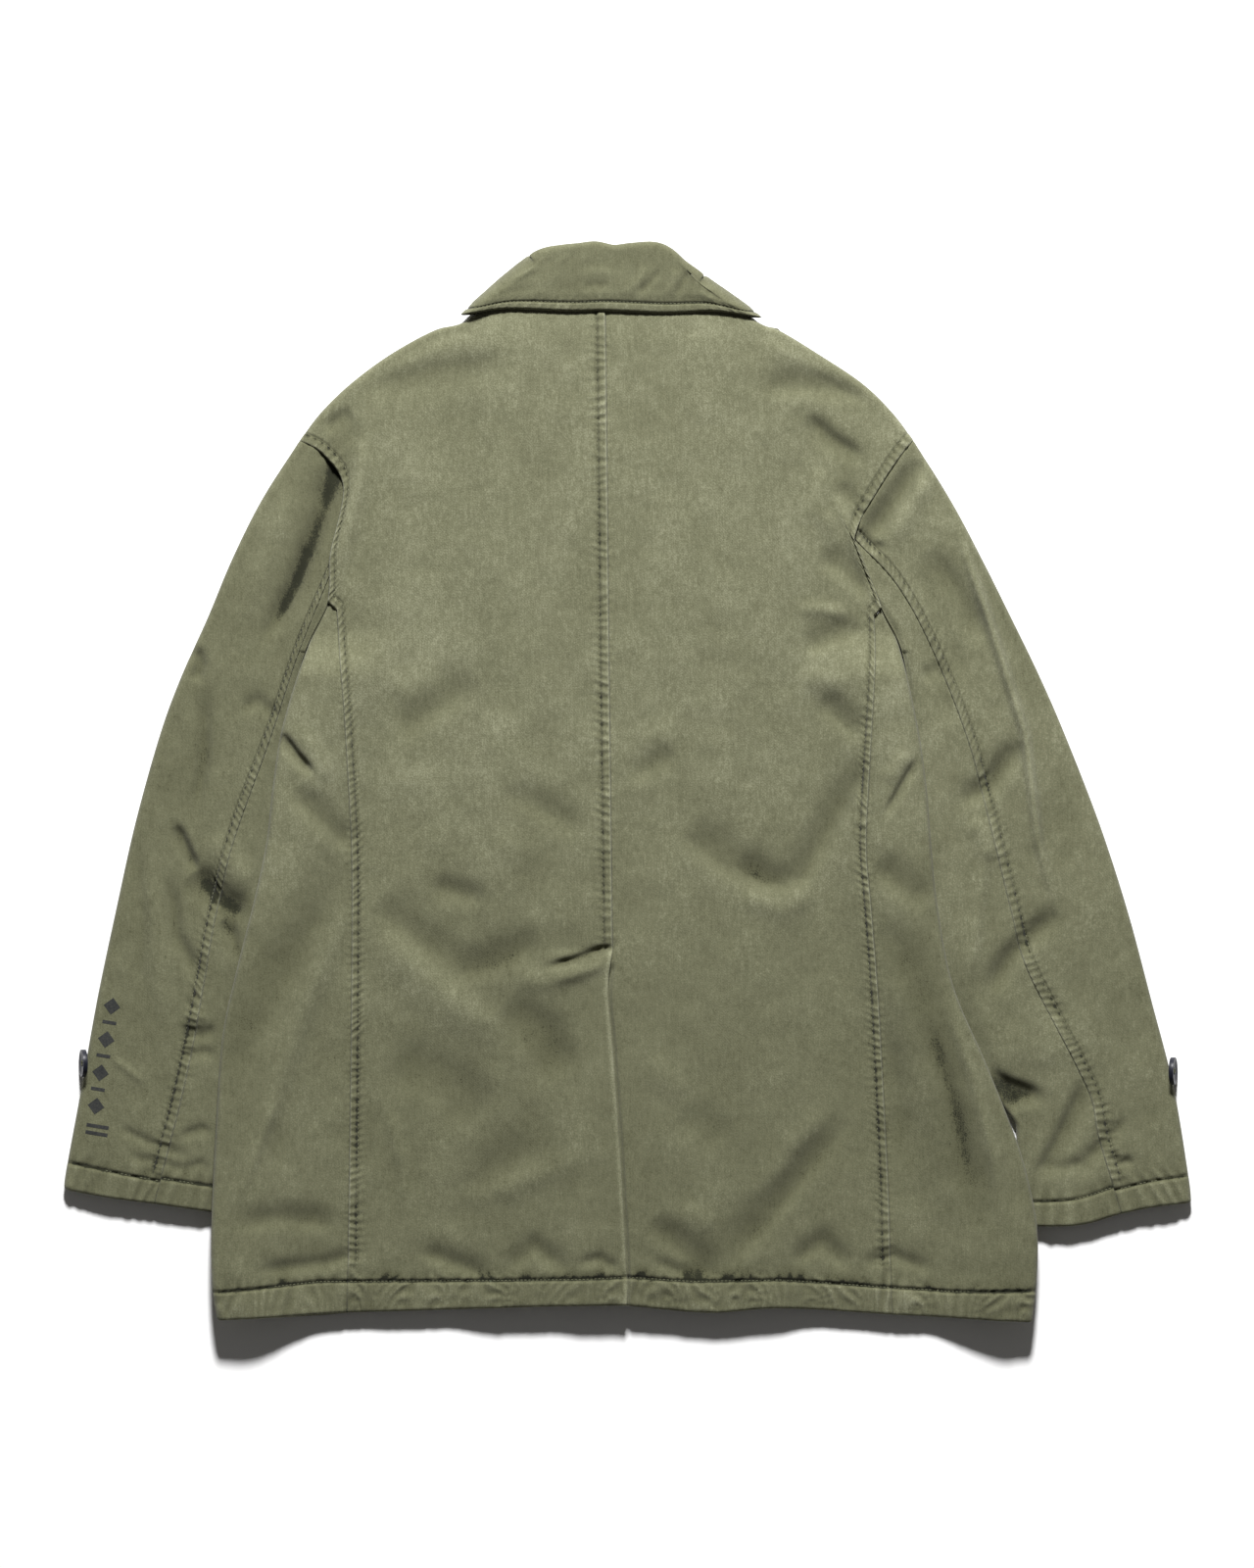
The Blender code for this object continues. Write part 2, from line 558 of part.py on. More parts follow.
def make_sleeve(side, material):
    """Upper and under sleeve: two pieces sewn to a flattened tube."""
    sign = -1 if side == "left" else 1
    under_grid, upper_grid = sleeve_grid(side)
    band = sleeve_band()
    gap = np.array((sign * SEAM_GAP / 2, 0.0))
    upper_out, upper_in, under_out, under_in = [], [], [], []
    for row in range(len(band)):
        across_low = under_grid[row]
        across_high = upper_grid[row]
        top = across_high.copy()
        top[0] += gap
        below = np.vstack((across_high[::-1], across_low[-2:FRONT_SEAM_COLUMN - 1:-1]))
        below[-1] += gap
        height = sleeve_top(top[:, 0], top[:, 1]) + band[row]
        outer, inner = wrapped_edge(top, below, across_high[-1], height,
                                    np.zeros(len(below)))
        upper_out.append(outer)
        upper_in.append(inner)
        top = across_low[::-1].copy()
        top[0] -= gap
        below = across_low[:FRONT_SEAM_COLUMN + 1].copy()
        below[-1] -= gap
        height = sleeve_top(top[:, 0], top[:, 1]) + band[row]
        outer, inner = wrapped_edge(top, below, across_low[0], height,
                                    np.zeros(len(below)))
        under_out.append(outer)
        under_in.append(inner)
    closed_wall(f"sleeve_upper_{side}", np.array(upper_out), np.array(upper_in), material)
    closed_wall(f"sleeve_under_{side}", np.array(under_out), np.array(under_in), material)


# The collar.

COLLAR_MIDDLE = 10.0    # height of the plane between its back and front halves
STAND_FACE = 0.5        # from that plane to the stand, and on to the fall
FALL_FACE = 6.2
STAND_DEPTH = 0.62      # the stand's share of the way from fold to edge


def collar_section(fold, edge, turn_fold, turn_edge, angle):
    """The closed outline of the collar's cloth at one place round the neck."""
    fold, edge = np.array(fold), np.array(edge)
    thick = COLLAR_WALL
    up = (fold - edge) / np.hypot(*(fold - edge))
    stand_top = 0.5 * (STAND_FACE + FALL_FACE + thick)
    bend = stand_top - STAND_FACE

    def place(part, face, past=0.0):
        turn = (1 - part) * np.array(turn_fold) + part * np.array(turn_edge)
        turn = turn / np.hypot(*turn)
        plane = fold + part * (edge - fold) + past * up + face * math.cos(angle) * turn
        return (*plane, COLLAR_MIDDLE + face * math.sin(angle))

    outline = [place(part, FALL_FACE + thick) for part in (1.0, 0.66, 0.33, 0.0)]
    for degrees in (45, 0, -45):
        swing = math.radians(degrees)
        outline.append(place(0.0, stand_top + bend * math.sin(swing),
                             bend * math.cos(swing)))
    outline += [place(0.0, STAND_FACE), place(STAND_DEPTH, STAND_FACE)]
    outline += [place(STAND_DEPTH, STAND_FACE + thick), place(0.0, STAND_FACE + thick)]
    outline.append(place(0.0, stand_top, FALL_FACE - stand_top))
    outline += [place(part, FALL_FACE) for part in (0.0, 0.33, 0.66, 1.0)]
    return outline


def make_collar(material):
    """Fall and stand in one band, folded along the top and round the neck."""
    fractions = even(COLLAR_BACK_SECTIONS - 1)
    folds = smooth_line(COLLAR_FOLD, fractions)
    edges = smooth_line(COLLAR_EDGE, fractions)
    left_turn = ((-0.75, 0.66), (-1.0, -0.1))
    right_turn = ((0.75, 0.66), (1.0, -0.1))
    centre = -10.0
    sections = []
    for end, turn, sign in ((0, left_turn, -1), (-1, right_turn, 1)):
        arm = []
        for step in range(COLLAR_TURN_STEPS + 1):
            angle = math.pi * (0.5 - step / COLLAR_TURN_STEPS)
            arm.append(collar_section(folds[end], edges[end], *turn, angle))
        for share_in in even(COLLAR_FRONT_SECTIONS)[1:]:
            stop = np.array((centre + sign * 1.5, 0.0))
            fold = folds[end] * (1 - share_in) + share_in * (stop + (0, 402.0))
            edge = edges[end] * (1 - share_in) + share_in * (stop + (0, 354.0))
            arm.append(collar_section(fold, edge, *turn, -math.pi / 2))
        sections.append(arm)
    back = [collar_section(f, e, (0, 1), (0, 1), math.pi / 2)
            for f, e in zip(folds[1:-1], edges[1:-1])]
    loop = sections[0][::-1] + back + sections[1]
    count = len(loop[0])
    faces = [tuple(range(count)), tuple((len(loop) - 1) * count + i
                                        for i in reversed(range(count)))]
    for i in range(len(loop) - 1):
        for k in range(count):
            n = (k + 1) % count
            faces.append((i * count + n, i * count + k, (i + 1) * count + k,
                          (i + 1) * count + n))
    return add_object("collar", np.array(loop).reshape(-1, 3), faces, material)


# The cuff buttons.

def button_profile():
    """Radius and height of a button's turned face: columns r, z."""
    r = BUTTON_DIAMETER / 2
    t = BUTTON_THICKNESS
    return ((r * 0.55, 0.0), (r * 0.9, t * 0.16), (r, t * 0.48), (r * 0.96, t * 0.82),
            (r * 0.84, t), (r * 0.72, t * 0.92), (r * 0.6, t * 0.62))


def make_button(side, edge_x, y, sleeve_height, material):
    """A turned button that stands on edge against the sleeve's outer edge."""
    sign = -1 if side == "left" else 1
    segments = 24
    out = np.array((sign * math.cos(BUTTON_TILT), 0.0, math.sin(BUTTON_TILT)))
    up = np.array((-sign * math.sin(BUTTON_TILT), 0.0, math.cos(BUTTON_TILT)))
    along = np.cross(up, out)
    radius = sleeve_height / 2
    middle = np.array((edge_x - sign * radius, y, radius))
    seat = middle + (radius + BUTTON_GAP) * out + BUTTON_SHIFT * up
    profile = button_profile()
    points = [seat]
    for r, z in profile:
        for k in range(segments):
            angle = 2 * math.pi * k / segments
            points.append(seat + z * out + r * (math.cos(angle) * up
                                                + math.sin(angle) * along))
    points.append(seat + profile[-1][1] * out)
    faces = []
    for k in range(segments):
        n = (k + 1) % segments
        faces.append((0, 1 + n, 1 + k))
        for ring in range(len(profile) - 1):
            low = 1 + ring * segments
            high = low + segments
            faces.append((low + k, low + n, high + n, high + k))
        last = 1 + (len(profile) - 1) * segments
        faces.append((last + k, last + n, len(points) - 1))
    return add_object(f"button_{side}", np.array(points), faces, material)


for thing in list(bpy.data.objects):
    bpy.data.objects.remove(thing, do_unlink=True)

cloth = cloth_material("olive_twill", CLOTH_COLOUR, 0.9)
collar_cloth = cloth_material("olive_twill_collar", COLLAR_COLOUR, 0.9)
button_plastic = cloth_material("dark_button", BUTTON_COLOUR, 0.25)
for hand in ("left", "right"):
    make_back(hand, cloth)
    make_side(hand, cloth)
    make_front(hand, cloth)
    make_sleeve(hand, cloth)
make_collar(collar_cloth)
CUFF_EDGE_HEIGHT = float(sleeve_top(np.array((0.0,)), np.array((0.0,)))[0])
make_button("left", line_x(SLEEVE_OUTER["left"][::-1], -215.6), -215.6,
            CUFF_EDGE_HEIGHT, button_plastic)
make_button("right", line_x(SLEEVE_OUTER["right"][::-1], -221.6) + 0.9, -221.6,
            CUFF_EDGE_HEIGHT, button_plastic)
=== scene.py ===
"""The finish of a padded cotton pea coat that lies flat, face down, back upwards.

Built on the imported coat: every cloth piece is a thin shell on its own solid's form,
with the seams turned in, the bands, puckers and creases modelled at real size.
Tables are in millimetres; meshes are in metres, with z = 0 where the coat lies.
"""
import math

import bpy
import numpy as np
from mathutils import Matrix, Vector


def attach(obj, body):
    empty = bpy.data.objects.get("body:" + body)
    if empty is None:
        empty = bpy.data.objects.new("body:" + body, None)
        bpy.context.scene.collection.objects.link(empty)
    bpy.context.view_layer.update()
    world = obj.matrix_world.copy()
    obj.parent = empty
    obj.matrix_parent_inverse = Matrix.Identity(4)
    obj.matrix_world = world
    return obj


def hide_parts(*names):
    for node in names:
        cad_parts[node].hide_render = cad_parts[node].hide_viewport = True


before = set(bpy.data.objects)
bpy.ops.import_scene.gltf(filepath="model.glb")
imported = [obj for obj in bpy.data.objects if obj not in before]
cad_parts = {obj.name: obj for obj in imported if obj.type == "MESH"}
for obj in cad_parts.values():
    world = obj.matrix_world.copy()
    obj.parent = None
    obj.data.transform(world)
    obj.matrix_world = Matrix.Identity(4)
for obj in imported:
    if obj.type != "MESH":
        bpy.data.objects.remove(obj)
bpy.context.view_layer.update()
bpy.ops.object.select_all(action="DESELECT")

# ---------------------------------------------------------------------------
# Camera. It looks straight down, as over a flat lay on a table, through a long
# lens, and takes in 0.96 by 1.2 m of the surface.

VIEW_HEIGHT = 1.2
VIEW_CENTRE = (-0.001, -0.0018)
LENS = 135.0
SENSOR = 36.0
CLOTH_LEVEL = 0.014

bpy.ops.object.camera_add(
    location=(*VIEW_CENTRE, CLOTH_LEVEL + VIEW_HEIGHT * LENS / SENSOR), rotation=(0, 0, 0))
camera = bpy.context.object
camera.name = "camera_overhead"
camera.data.lens = LENS
camera.data.sensor_width = SENSOR
camera.data.clip_start = 0.01
camera.data.dof.use_dof = False
bpy.context.scene.camera = camera
bpy.context.scene.view_settings.view_transform = "Standard"

# ---------------------------------------------------------------------------
# Studio. A pale floor, one key softbox high beyond the collar, which throws the
# short dark shadow below hem and cuffs, and a weak even fill.

FLOOR_SIDE = 8.0
FLOOR_LEVEL = -0.0002
KEY_ENERGY = 400.0
KEY_DISTANCE = 4.2
KEY_HEIGHT_ANGLE = math.radians(39)
KEY_TURN = math.radians(-1)
KEY_SIZE = 0.7
FILL_COLOUR = (1.0, 0.97, 0.93, 1)
FILL = 0.085


def new_material(name, values):
    """A material with these values on its shader's own sockets, and its node tree."""
    material = bpy.data.materials.new(name)
    material.use_nodes = True
    shader = material.node_tree.nodes["Principled BSDF"]
    for socket, value in values.items():
        shader.inputs[socket].default_value = value
    return material, material.node_tree, shader


bpy.ops.mesh.primitive_plane_add(size=FLOOR_SIDE, location=(0, 0, FLOOR_LEVEL))
floor = bpy.context.object
floor.name = "floor"
floor.data.materials.append(new_material("floor_white", {
    "Base Color": (0.93, 0.93, 0.93, 1), "Roughness": 0.9, "Specular IOR Level": 0.1})[0])

key_place = Vector((-math.sin(KEY_TURN) * math.cos(KEY_HEIGHT_ANGLE),
                    math.cos(KEY_TURN) * math.cos(KEY_HEIGHT_ANGLE),
                    math.sin(KEY_HEIGHT_ANGLE))) * KEY_DISTANCE
bpy.ops.object.light_add(type="AREA", location=key_place)
key_light = bpy.context.object
key_light.name = "key_softbox"
key_light.data.shape = "DISK"
key_light.data.size = KEY_SIZE
key_light.data.energy = KEY_ENERGY
key_light.rotation_mode = "QUATERNION"
key_light.rotation_quaternion = (-key_place).to_track_quat("-Z", "Y")

world = bpy.data.worlds.new("fill")
world.use_nodes = True
world.node_tree.nodes["Background"].inputs["Color"].default_value = FILL_COLOUR
world.node_tree.nodes["Background"].inputs["Strength"].default_value = FILL
bpy.context.scene.world = world
bpy.ops.object.select_all(action="DESELECT")

# ---------------------------------------------------------------------------
# Backs. Two panels of cotton twill over thin wadding, sewn down the centre with
# the allowance turned to the left and topstitched, and turned up round a filled
# hem. Below the vent the left one's folded edge lies over the right one.

MM = 0.001
WALL = 4.5
CURVE_STEPS = 16        # samples between two points of a line


def through(samples):
    """A line through close points: a function from its share of length to x, y."""
    steps = np.hypot(*np.diff(samples, axis=0).T)
    length = np.concatenate(([0.0], np.cumsum(steps)))

    def at(t):
        t = np.asarray(t, dtype=float) * length[-1]
        return np.stack([np.interp(t, length, samples[:, k]) for k in (0, 1)], -1)

    at.length = length[-1]
    at.samples = samples
    return at


def line(points):
    """A smooth line through points that lie apart."""
    knots = np.array(points, dtype=float)
    padded = np.vstack((2 * knots[0] - knots[1], knots, 2 * knots[-1] - knots[-2]))
    samples = []
    for p0, p1, p2, p3 in zip(padded, padded[1:], padded[2:], padded[3:]):
        for t in np.linspace(0.0, 1.0, CURVE_STEPS, endpoint=False):
            samples.append(0.5 * (2 * p1 + (p2 - p0) * t
                                  + (2 * p0 - 5 * p1 + 4 * p2 - p3) * t ** 2
                                  + (3 * p1 - p0 - 3 * p2 + p3) * t ** 3))
    samples.append(knots[-1])
    return through(np.array(samples))


def joined(*lines):
    """Lines that follow one another, as one."""
    return through(np.vstack([lines[0].samples] + [later.samples[1:] for later in lines[1:]]))


def ease(t):
    """Nought to one, starting and ending softly."""
    t = np.clip(t, 0.0, 1.0)
    return t * t * (3 - 2 * t)


def bell(distance, reach):
    """A soft hill, one at no distance."""
    return np.exp(-(distance / reach) ** 2)


def line_x(points, y):
    """The x of a line that climbs in y."""
    table = np.array(points)
    return np.interp(y, table[:, 1], table[:, 0])


def line_y(points, x):
    """The y of a line that runs in x."""
    table = np.array(points)
    return np.interp(x, table[:, 0], table[:, 1])


LATTICE = 256
LATTICE_START = (97.0, 83.0)


def rumple(x, y, cell, seed):
    """Soft random hills, about -1 to 1, one to a cell in millimetres."""
    lattice = np.random.default_rng(seed).uniform(-1, 1, (LATTICE, LATTICE))
    u, v = x / cell + LATTICE_START[0], y / cell + LATTICE_START[1]
    i, j = np.floor(u).astype(int), np.floor(v).astype(int)
    fu, fv = u - i, v - j
    fu, fv = fu * fu * (3 - 2 * fu), fv * fv * (3 - 2 * fv)
    i0, i1, j0, j1 = i % LATTICE, (i + 1) % LATTICE, j % LATTICE, (j + 1) % LATTICE
    low = lattice[i0, j0] * (1 - fu) + lattice[i1, j0] * fu
    high = lattice[i0, j1] * (1 - fu) + lattice[i1, j1] * fu
    return low * (1 - fv) + high * fv


def rumpled(x, y, layers):
    """Several sizes of such hills: columns height, cell and seed."""
    return sum(height * rumple(x, y, cell, seed) for height, cell, seed in layers)


CREASE_REACH = 2.6      # widths past which nothing is left of a crease
CREASE_PAST = 0.08      # shares of its length that it runs on, and fades over
CREASE_FADE = 0.35
CREASE_LEAN = 0.35      # how quickly its left width gives way to its right one


def creases(x, y, table):
    """The sum of a table's soft ridges and troughs, each fading at its ends. One that
    is wider on its left or right is a fold that leans over to the other side."""
    total = np.zeros_like(x)
    for height, left, right, *points in table:
        path = np.array(points, dtype=float).reshape(-1, 2)
        reach = CREASE_REACH * max(left, right)
        low, high = path.min(0) - reach, path.max(0) + reach
        near = (x > low[0]) & (x < high[0]) & (y > low[1]) & (y < high[1])
        if not near.any():
            continue
        px, py = x[near], y[near]
        steps = np.hypot(*np.diff(path, axis=0).T)
        before = np.concatenate(([0.0], np.cumsum(steps)))
        best = np.full(px.shape, np.inf)
        along = np.zeros(px.shape)
        side = np.zeros(px.shape)
        for k, length in enumerate(steps):
            run = (path[k + 1] - path[k]) / length
            from_x, from_y = px - path[k, 0], py - path[k, 1]
            t = np.clip(from_x * run[0] + from_y * run[1], 0, length)
            away = np.hypot(from_x - t * run[0], from_y - t * run[1])
            closer = away < best
            best = np.where(closer, away, best)
            along = np.where(closer, before[k] + t, along)
            side = np.where(closer, run[0] * from_y - run[1] * from_x, side)
        share = along / before[-1]
        fade = (ease((share + CREASE_PAST) / CREASE_FADE)
                * ease((1 + CREASE_PAST - share) / CREASE_FADE))
        leftward = 0.5 + 0.5 * np.tanh(side / (CREASE_LEAN * min(left, right)))
        width = right + (left - right) * leftward
        total[near] += height * fade * bell(best, width)
    return total


def coons(first, last, low, high, u, v):
    """Plane points at u across and v up a patch between four lines."""
    uu, vv = u[..., None], v[..., None]
    a, b, c, d = low(0.0), low(1.0), high(0.0), high(1.0)
    sides = (1 - uu) * first(v) + uu * last(v)
    ends = (1 - vv) * low(u) + vv * high(u)
    corners = ((1 - uu) * (1 - vv) * a + uu * (1 - vv) * b
               + (1 - uu) * vv * c + uu * vv * d)
    return sides + ends - corners


NARROW_SHARE = 0.7      # of a narrow row that the close steps at its edges may take


def spread(near_first, near_last, width, count):
    """Distances from the first edge, a row for each width: close steps at both
    edges, as given, and count even ones between. Narrow rows draw them all in."""
    width = np.atleast_1d(np.asarray(width, dtype=float))[:, None]
    need = near_first[-1] + near_last[-1]
    squeeze = np.minimum(1.0, NARROW_SHARE * width / need)
    a = near_first[None] * squeeze
    b = width - near_last[::-1][None] * squeeze
    t = np.linspace(0, 1, count + 2)[1:-1][None]
    middle = a[:, -1:] * (1 - t) + b[:, :1] * t
    return np.hstack((a, middle, b))


def stepped(first, last, width, count):
    """The same between two edges, and how deep under the face each step lies."""
    depths = np.concatenate((first[1], np.zeros(count), last[1][::-1]))
    return spread(first[0], last[0], width, count), depths


def edge(turn, steps):
    """Distances and depths of an edge, from its turning to the level cloth."""
    return (np.concatenate((turn[:, 0], steps)),
            np.concatenate((turn[:, 1], np.zeros(len(steps)))))


# An edge's turning: columns are distance in from the edge, and depth under the face.
SEAM_TURN = np.array(((-0.7, 1.6), (-0.3, 1.0), (0.05, 0.55), (0.5, 0.15), (1.1, 0.0)))
HEM_TURN = np.array(((12.0, WALL), (4.0, WALL), (2.0, WALL), (0.6, 3.75), (0.0, 2.3),
                     (0.55, 0.8), (1.9, 0.0)))
SHOULDER_TURN = np.array(((3.0, 8.0), (0.3, 7.2), (0.0, 4.4), (0.8, 2.2), (2.6, 0.7),
                          (5.0, 0.0)))
SEAM_STEPS = np.arange(1.9, 12.0, 0.8)     # close steps across a seam's band
HEM_STEPS = np.arange(3.2, 27.0, 1.2)      # close steps across a hem's band
SHOULDER_STEPS = np.arange(6.5, 14, 1.5)
SEAM_FACE = edge(SEAM_TURN, SEAM_STEPS)
HEM_FACE = edge(HEM_TURN, HEM_STEPS)
SHOULDER_FACE = edge(SHOULDER_TURN, SHOULDER_STEPS)

BAND = 7.0              # width of a topstitched seam allowance
BAND_RISE = 0.4         # how much its filling and its gathers lift the cloth
BAND_GATHERS = 1.9
BAND_SLOPE = 1.8        # how far it slopes down towards the stitches
STITCH_PULL = 1.3       # how deep they draw it in, and how much less on a gather
STITCH_SPARE = 0.8
BAND_BEYOND = 1.1       # how high the gathers run on past the stitches, and how far
BEYOND_REACH = 3.6
PUCKER_PITCH = 6.2
DRIFT_CELL, RIDGE_CELL, STRENGTH_CELL = 3.3, 0.75, 1.9      # in pitches
WAVE_SHARE, RIDGE_SHARE = 0.6, 0.4
SKEW = 0.45             # how far gathers lean from the upright
SKEW_CELL = 23.0
GATHER_MEAN = 0.4
EDGE_FADE = 0.8         # how much an allowance is rubbed pale at its edge, and painted paler on its gathers as highlight
BAND_HIGHLIGHT = 0.7
PIT_SHADE = 0.75         # and how much painted shade darkens its pits
SEAM_SHADING = 0.3         # how much a seam's plain side is painted paler on its gathers and darker between them


def pucker(along, seed, pitch=PUCKER_PITCH):
    """The uneven gathers that washing draws into a sewn seam, 0 to 1."""
    zero = np.zeros_like(along)
    drift = rumple(along, zero, DRIFT_CELL * pitch, seed) * 0.5 * pitch
    wave = 0.5 + 0.5 * np.sin(2 * math.pi * (along + drift) / pitch)
    ridge = 1 - np.abs(rumple(along, zero + 9, RIDGE_CELL * pitch, seed + 2)) ** 0.8
    strength = 0.7 + 0.3 * rumple(along, zero + 5, STRENGTH_CELL * pitch, seed + 1)
    return (WAVE_SHARE * wave ** 1.3 + RIDGE_SHARE * ridge) * strength


def slanted(along, away, seed):
    """Gathers run askew: how far along they start depends on where they are."""
    return along + away * SKEW * rumple(along, away * 0, SKEW_CELL, seed + 7)


def seam_band(away, along, seed, band=BAND):
    """The ridge of a topstitched allowance: full and puckered, then a stitch groove."""
    on_band = ease(away - 0.2) * ease((band - away) / BAND_SLOPE)
    beyond = bell(away - band - 2.0, BEYOND_REACH) * (away > band)
    gathers = pucker(slanted(along, away, seed), seed)
    return (on_band * (BAND_RISE + BAND_GATHERS * gathers)
            - bell(away - band, 1.0) * (STITCH_PULL - STITCH_SPARE * gathers)
            + beyond * BAND_BEYOND * (gathers - GATHER_MEAN))


def band_wear_and_shade(away, along, seed, band=BAND):
    """How a seam's allowance is coloured: rubbed pale at its edge, painted paler on the
    gathers as highlight, and painted shade in the pits beside the stitches."""
    gathers = pucker(slanted(along, away, seed), seed)
    on_band = ease(away - 0.2) * ease((band + 1.0 - away) / BAND_SLOPE)
    lip = bell(away - 0.7, 0.55)
    pits = bell(away - band + 0.8, 1.7) * (1 - gathers)
    return EDGE_FADE * lip + on_band * BAND_HIGHLIGHT * (gathers - 0.35) - PIT_SHADE * pits


def seam_side(away, along, seed):
    """The plain side of a seam, where the gathers run out into the cloth."""
    gathers = pucker(slanted(along, -away, seed), seed)
    return bell(away, BEYOND_REACH) * 0.8 * (gathers - 0.45)


def add_mesh(name, points, faces, marks, material):
    """One piece from points in millimetres, with its wear and painted shading kept as an
    attribute.
    """
    mesh = bpy.data.meshes.new(name)
    mesh.vertices.add(len(points))
    mesh.vertices.foreach_set("co", (points * MM).astype(np.float32).ravel())
    mesh.loops.add(faces.size)
    mesh.loops.foreach_set("vertex_index", faces.astype(np.int32).ravel())
    mesh.polygons.add(len(faces))
    mesh.polygons.foreach_set("loop_start", np.arange(0, faces.size, 4, dtype=np.int32))
    mesh.update(calc_edges=True)
    mesh.validate()
    mesh.shade_smooth()
    fade = mesh.attributes.new("fade", "FLOAT", "POINT")
    fade.data.foreach_set("value", marks.astype(np.float32).ravel())
    mesh.materials.append(material)
    piece = bpy.data.objects.new(name, mesh)
    bpy.context.collection.objects.link(piece)
    return piece


def grid_faces(rows, columns):
    """Four-sided faces between the points of a grid."""
    index = np.arange(rows * columns).reshape(rows, columns)
    faces = np.stack((index[:-1, :-1], index[:-1, 1:], index[1:, 1:], index[1:, :-1]), -1)
    return faces.reshape(-1, 4)


def add_sheet(name, points, marks, material, upward=True):
    """A sheet from a grid of points, its faces turned up or down."""
    rows, columns = points.shape[:2]
    faces = grid_faces(rows, columns)
    middle = points[rows // 2, columns // 2] - points[rows // 2, columns // 2 - 1]
    climb = points[rows // 2 + 1, columns // 2] - points[rows // 2, columns // 2]
    if (np.cross(middle, climb)[2] > 0) != upward:
        faces = faces[:, ::-1]
    return add_mesh(name, points.reshape(-1, 3), faces, marks, material)


HEM_EDGE = {
    "left": ((-314.4, -411.7), (-212.4, -406.8), (-144.2, -404.6), (-66.9, -401.9),
             (-0.9, -400.8)),
    "right": ((-0.9, -401.2), (61.3, -406.8), (116.0, -403.4), (182.0, -407.6),
              (248.0, -411.3), (307.3, -413.2)),
}
HEM_GROOVE = {
    "left": ((-316.7, -390.3), (-236.4, -382.8), (-144.2, -382.4), (-33.9, -380.6),
             (-0.9, -379.1)),
    "right": ((-0.9, -379.1), (50.0, -382.4), (116.0, -381.3), (193.3, -386.9),
              (248.0, -390.3), (311.8, -389.2)),
}
CENTRE_SEAM = ((-11.9, -129.0), (-12.9, -47.0), (-14.4, 73.0), (-15.9, 223.0),
               (-17.4, 358.0), (-18.2, 373.0))
VENT_EDGE = ((-0.9, -400.8), (-0.9, -377.0), (-5.4, -294.0), (-11.4, -208.0),
             (-15.2, -159.0), (-11.9, -129.0))
PRINCESS_SEAM = {
    "left": ((-215.4, -406.8), (-213.9, -302.0), (-212.4, -189.0), (-211.7, -77.0),
             (-213.2, -24.0), (-217.4, 51.0), (-221.5, 103.0), (-223.5, 131.0)),
    "right": ((202.3, -408.3), (200.8, -367.0), (198.6, -296.5), (191.8, -172.0),
              (185.8, -97.0), (182.1, -53.5), (183.6, -8.0), (187.3, 59.0),
              (189.1, 98.7), (188.5, 126.5)),
}
SIDE_EDGE = {
    "left": ((-314.4, -411.7), (-318.2, -384.3), (-318.9, -339.3), (-315.9, -271.8),
             (-310.7, -196.8), (-300.9, -149.5), (-285.9, -89.5), (-276.9, -46.8),
             (-271.7, -1.8), (-264.2, 43.2), (-245.5, 103.2), (-230.5, 137.0)),
    "right": ((308.8, -413.3), (312.6, -376.8), (312.6, -339.3), (305.1, -301.8),
              (296.1, -271.8), (274.3, -217.0), (248.8, -157.0), (236.8, -97.0),
              (231.6, -46.8), (227.8, -1.8), (221.1, 43.2), (207.5, 103.2),
              (194.5, 131.7)),
}
# From the underarm up to the sleeve's back seam, and on to the shoulder tip.
ARMHOLE_LOW = {
    "left": ((-230.5, 137.0), (-229.2, 147.0), (-228.9, 157.2)),
    "right": ((194.5, 131.7), (187.3, 151.2), (173.1, 185.7)),
}
ARMHOLE_HIGH = {
    "left": ((-228.9, 157.2), (-228.2, 175.2), (-218.4, 224.0), (-232.7, 249.5),
             (-252.2, 261.5)),
    "right": ((173.1, 185.7), (178.3, 200.7), (191.1, 222.5), (206.1, 245.7),
              (218.8, 261.5)),
}
SHOULDER = {
    "left": ((-252.2, 261.5), (-235.7, 283.2), (-212.4, 305.7), (-181.7, 328.2),
             (-149.0, 346.0), (-128.0, 351.5), (-104.0, 365.5), (-62.0, 371.0),
             (-18.2, 373.0)),
    "right": ((218.8, 261.5), (202.3, 283.2), (179.1, 305.7), (145.3, 328.2),
              (117.0, 345.0), (102.0, 350.5), (80.0, 363.5), (40.0, 371.5),
              (-18.2, 373.0)),
}
SIDES = (("left", -1), ("right", 1))
CENTRE_X = -0.9         # where the two halves of the hem meet

# How the layers under the back raise it.
LAYER_GAP = 0.5
BODY_GAP = 2.8
BODY_GAP_REACH = 40.0           # how far below the shoulders that gap is full
FRONT_LAPS = (-97.0, 105.0)     # between these the two fronts lie double
LAP_RAMP = 45.0
SLEEVE_LIFT = 12.0
HEM_LIFT = {"left": 15.0, "right": 13.0}
HEM_LIFT_FROM, HEM_LIFT_RAMP = -250.0, 150.0
LIFT_FULL, LIFT_END = 24.0, 84.0
UNDERARM, UNDERARM_RAMP = 118.0, 40.0


def lift(x, y):
    """How high the sleeves hold up the body's lower layer."""
    height = np.zeros_like(x)
    for side, sign in SIDES:
        from_edge = sign * (line_x(SIDE_EDGE[side], y) - x)
        near = 1 - ease((from_edge - LIFT_FULL) / (LIFT_END - LIFT_FULL))
        to_hem = ease((HEM_LIFT_FROM - y) / HEM_LIFT_RAMP)
        peak = SLEEVE_LIFT + (HEM_LIFT[side] - SLEEVE_LIFT) * to_hem
        height = np.maximum(height, peak * near * ease((UNDERARM - y) / UNDERARM_RAMP))
    return height


def shoulder_depth(x, y):
    """How far a point lies below the line of the shoulders."""
    outline = np.vstack((np.array(SHOULDER["left"]), np.array(SHOULDER["right"])[-2::-1]))
    return np.interp(x, outline[:, 0], outline[:, 1]) - y


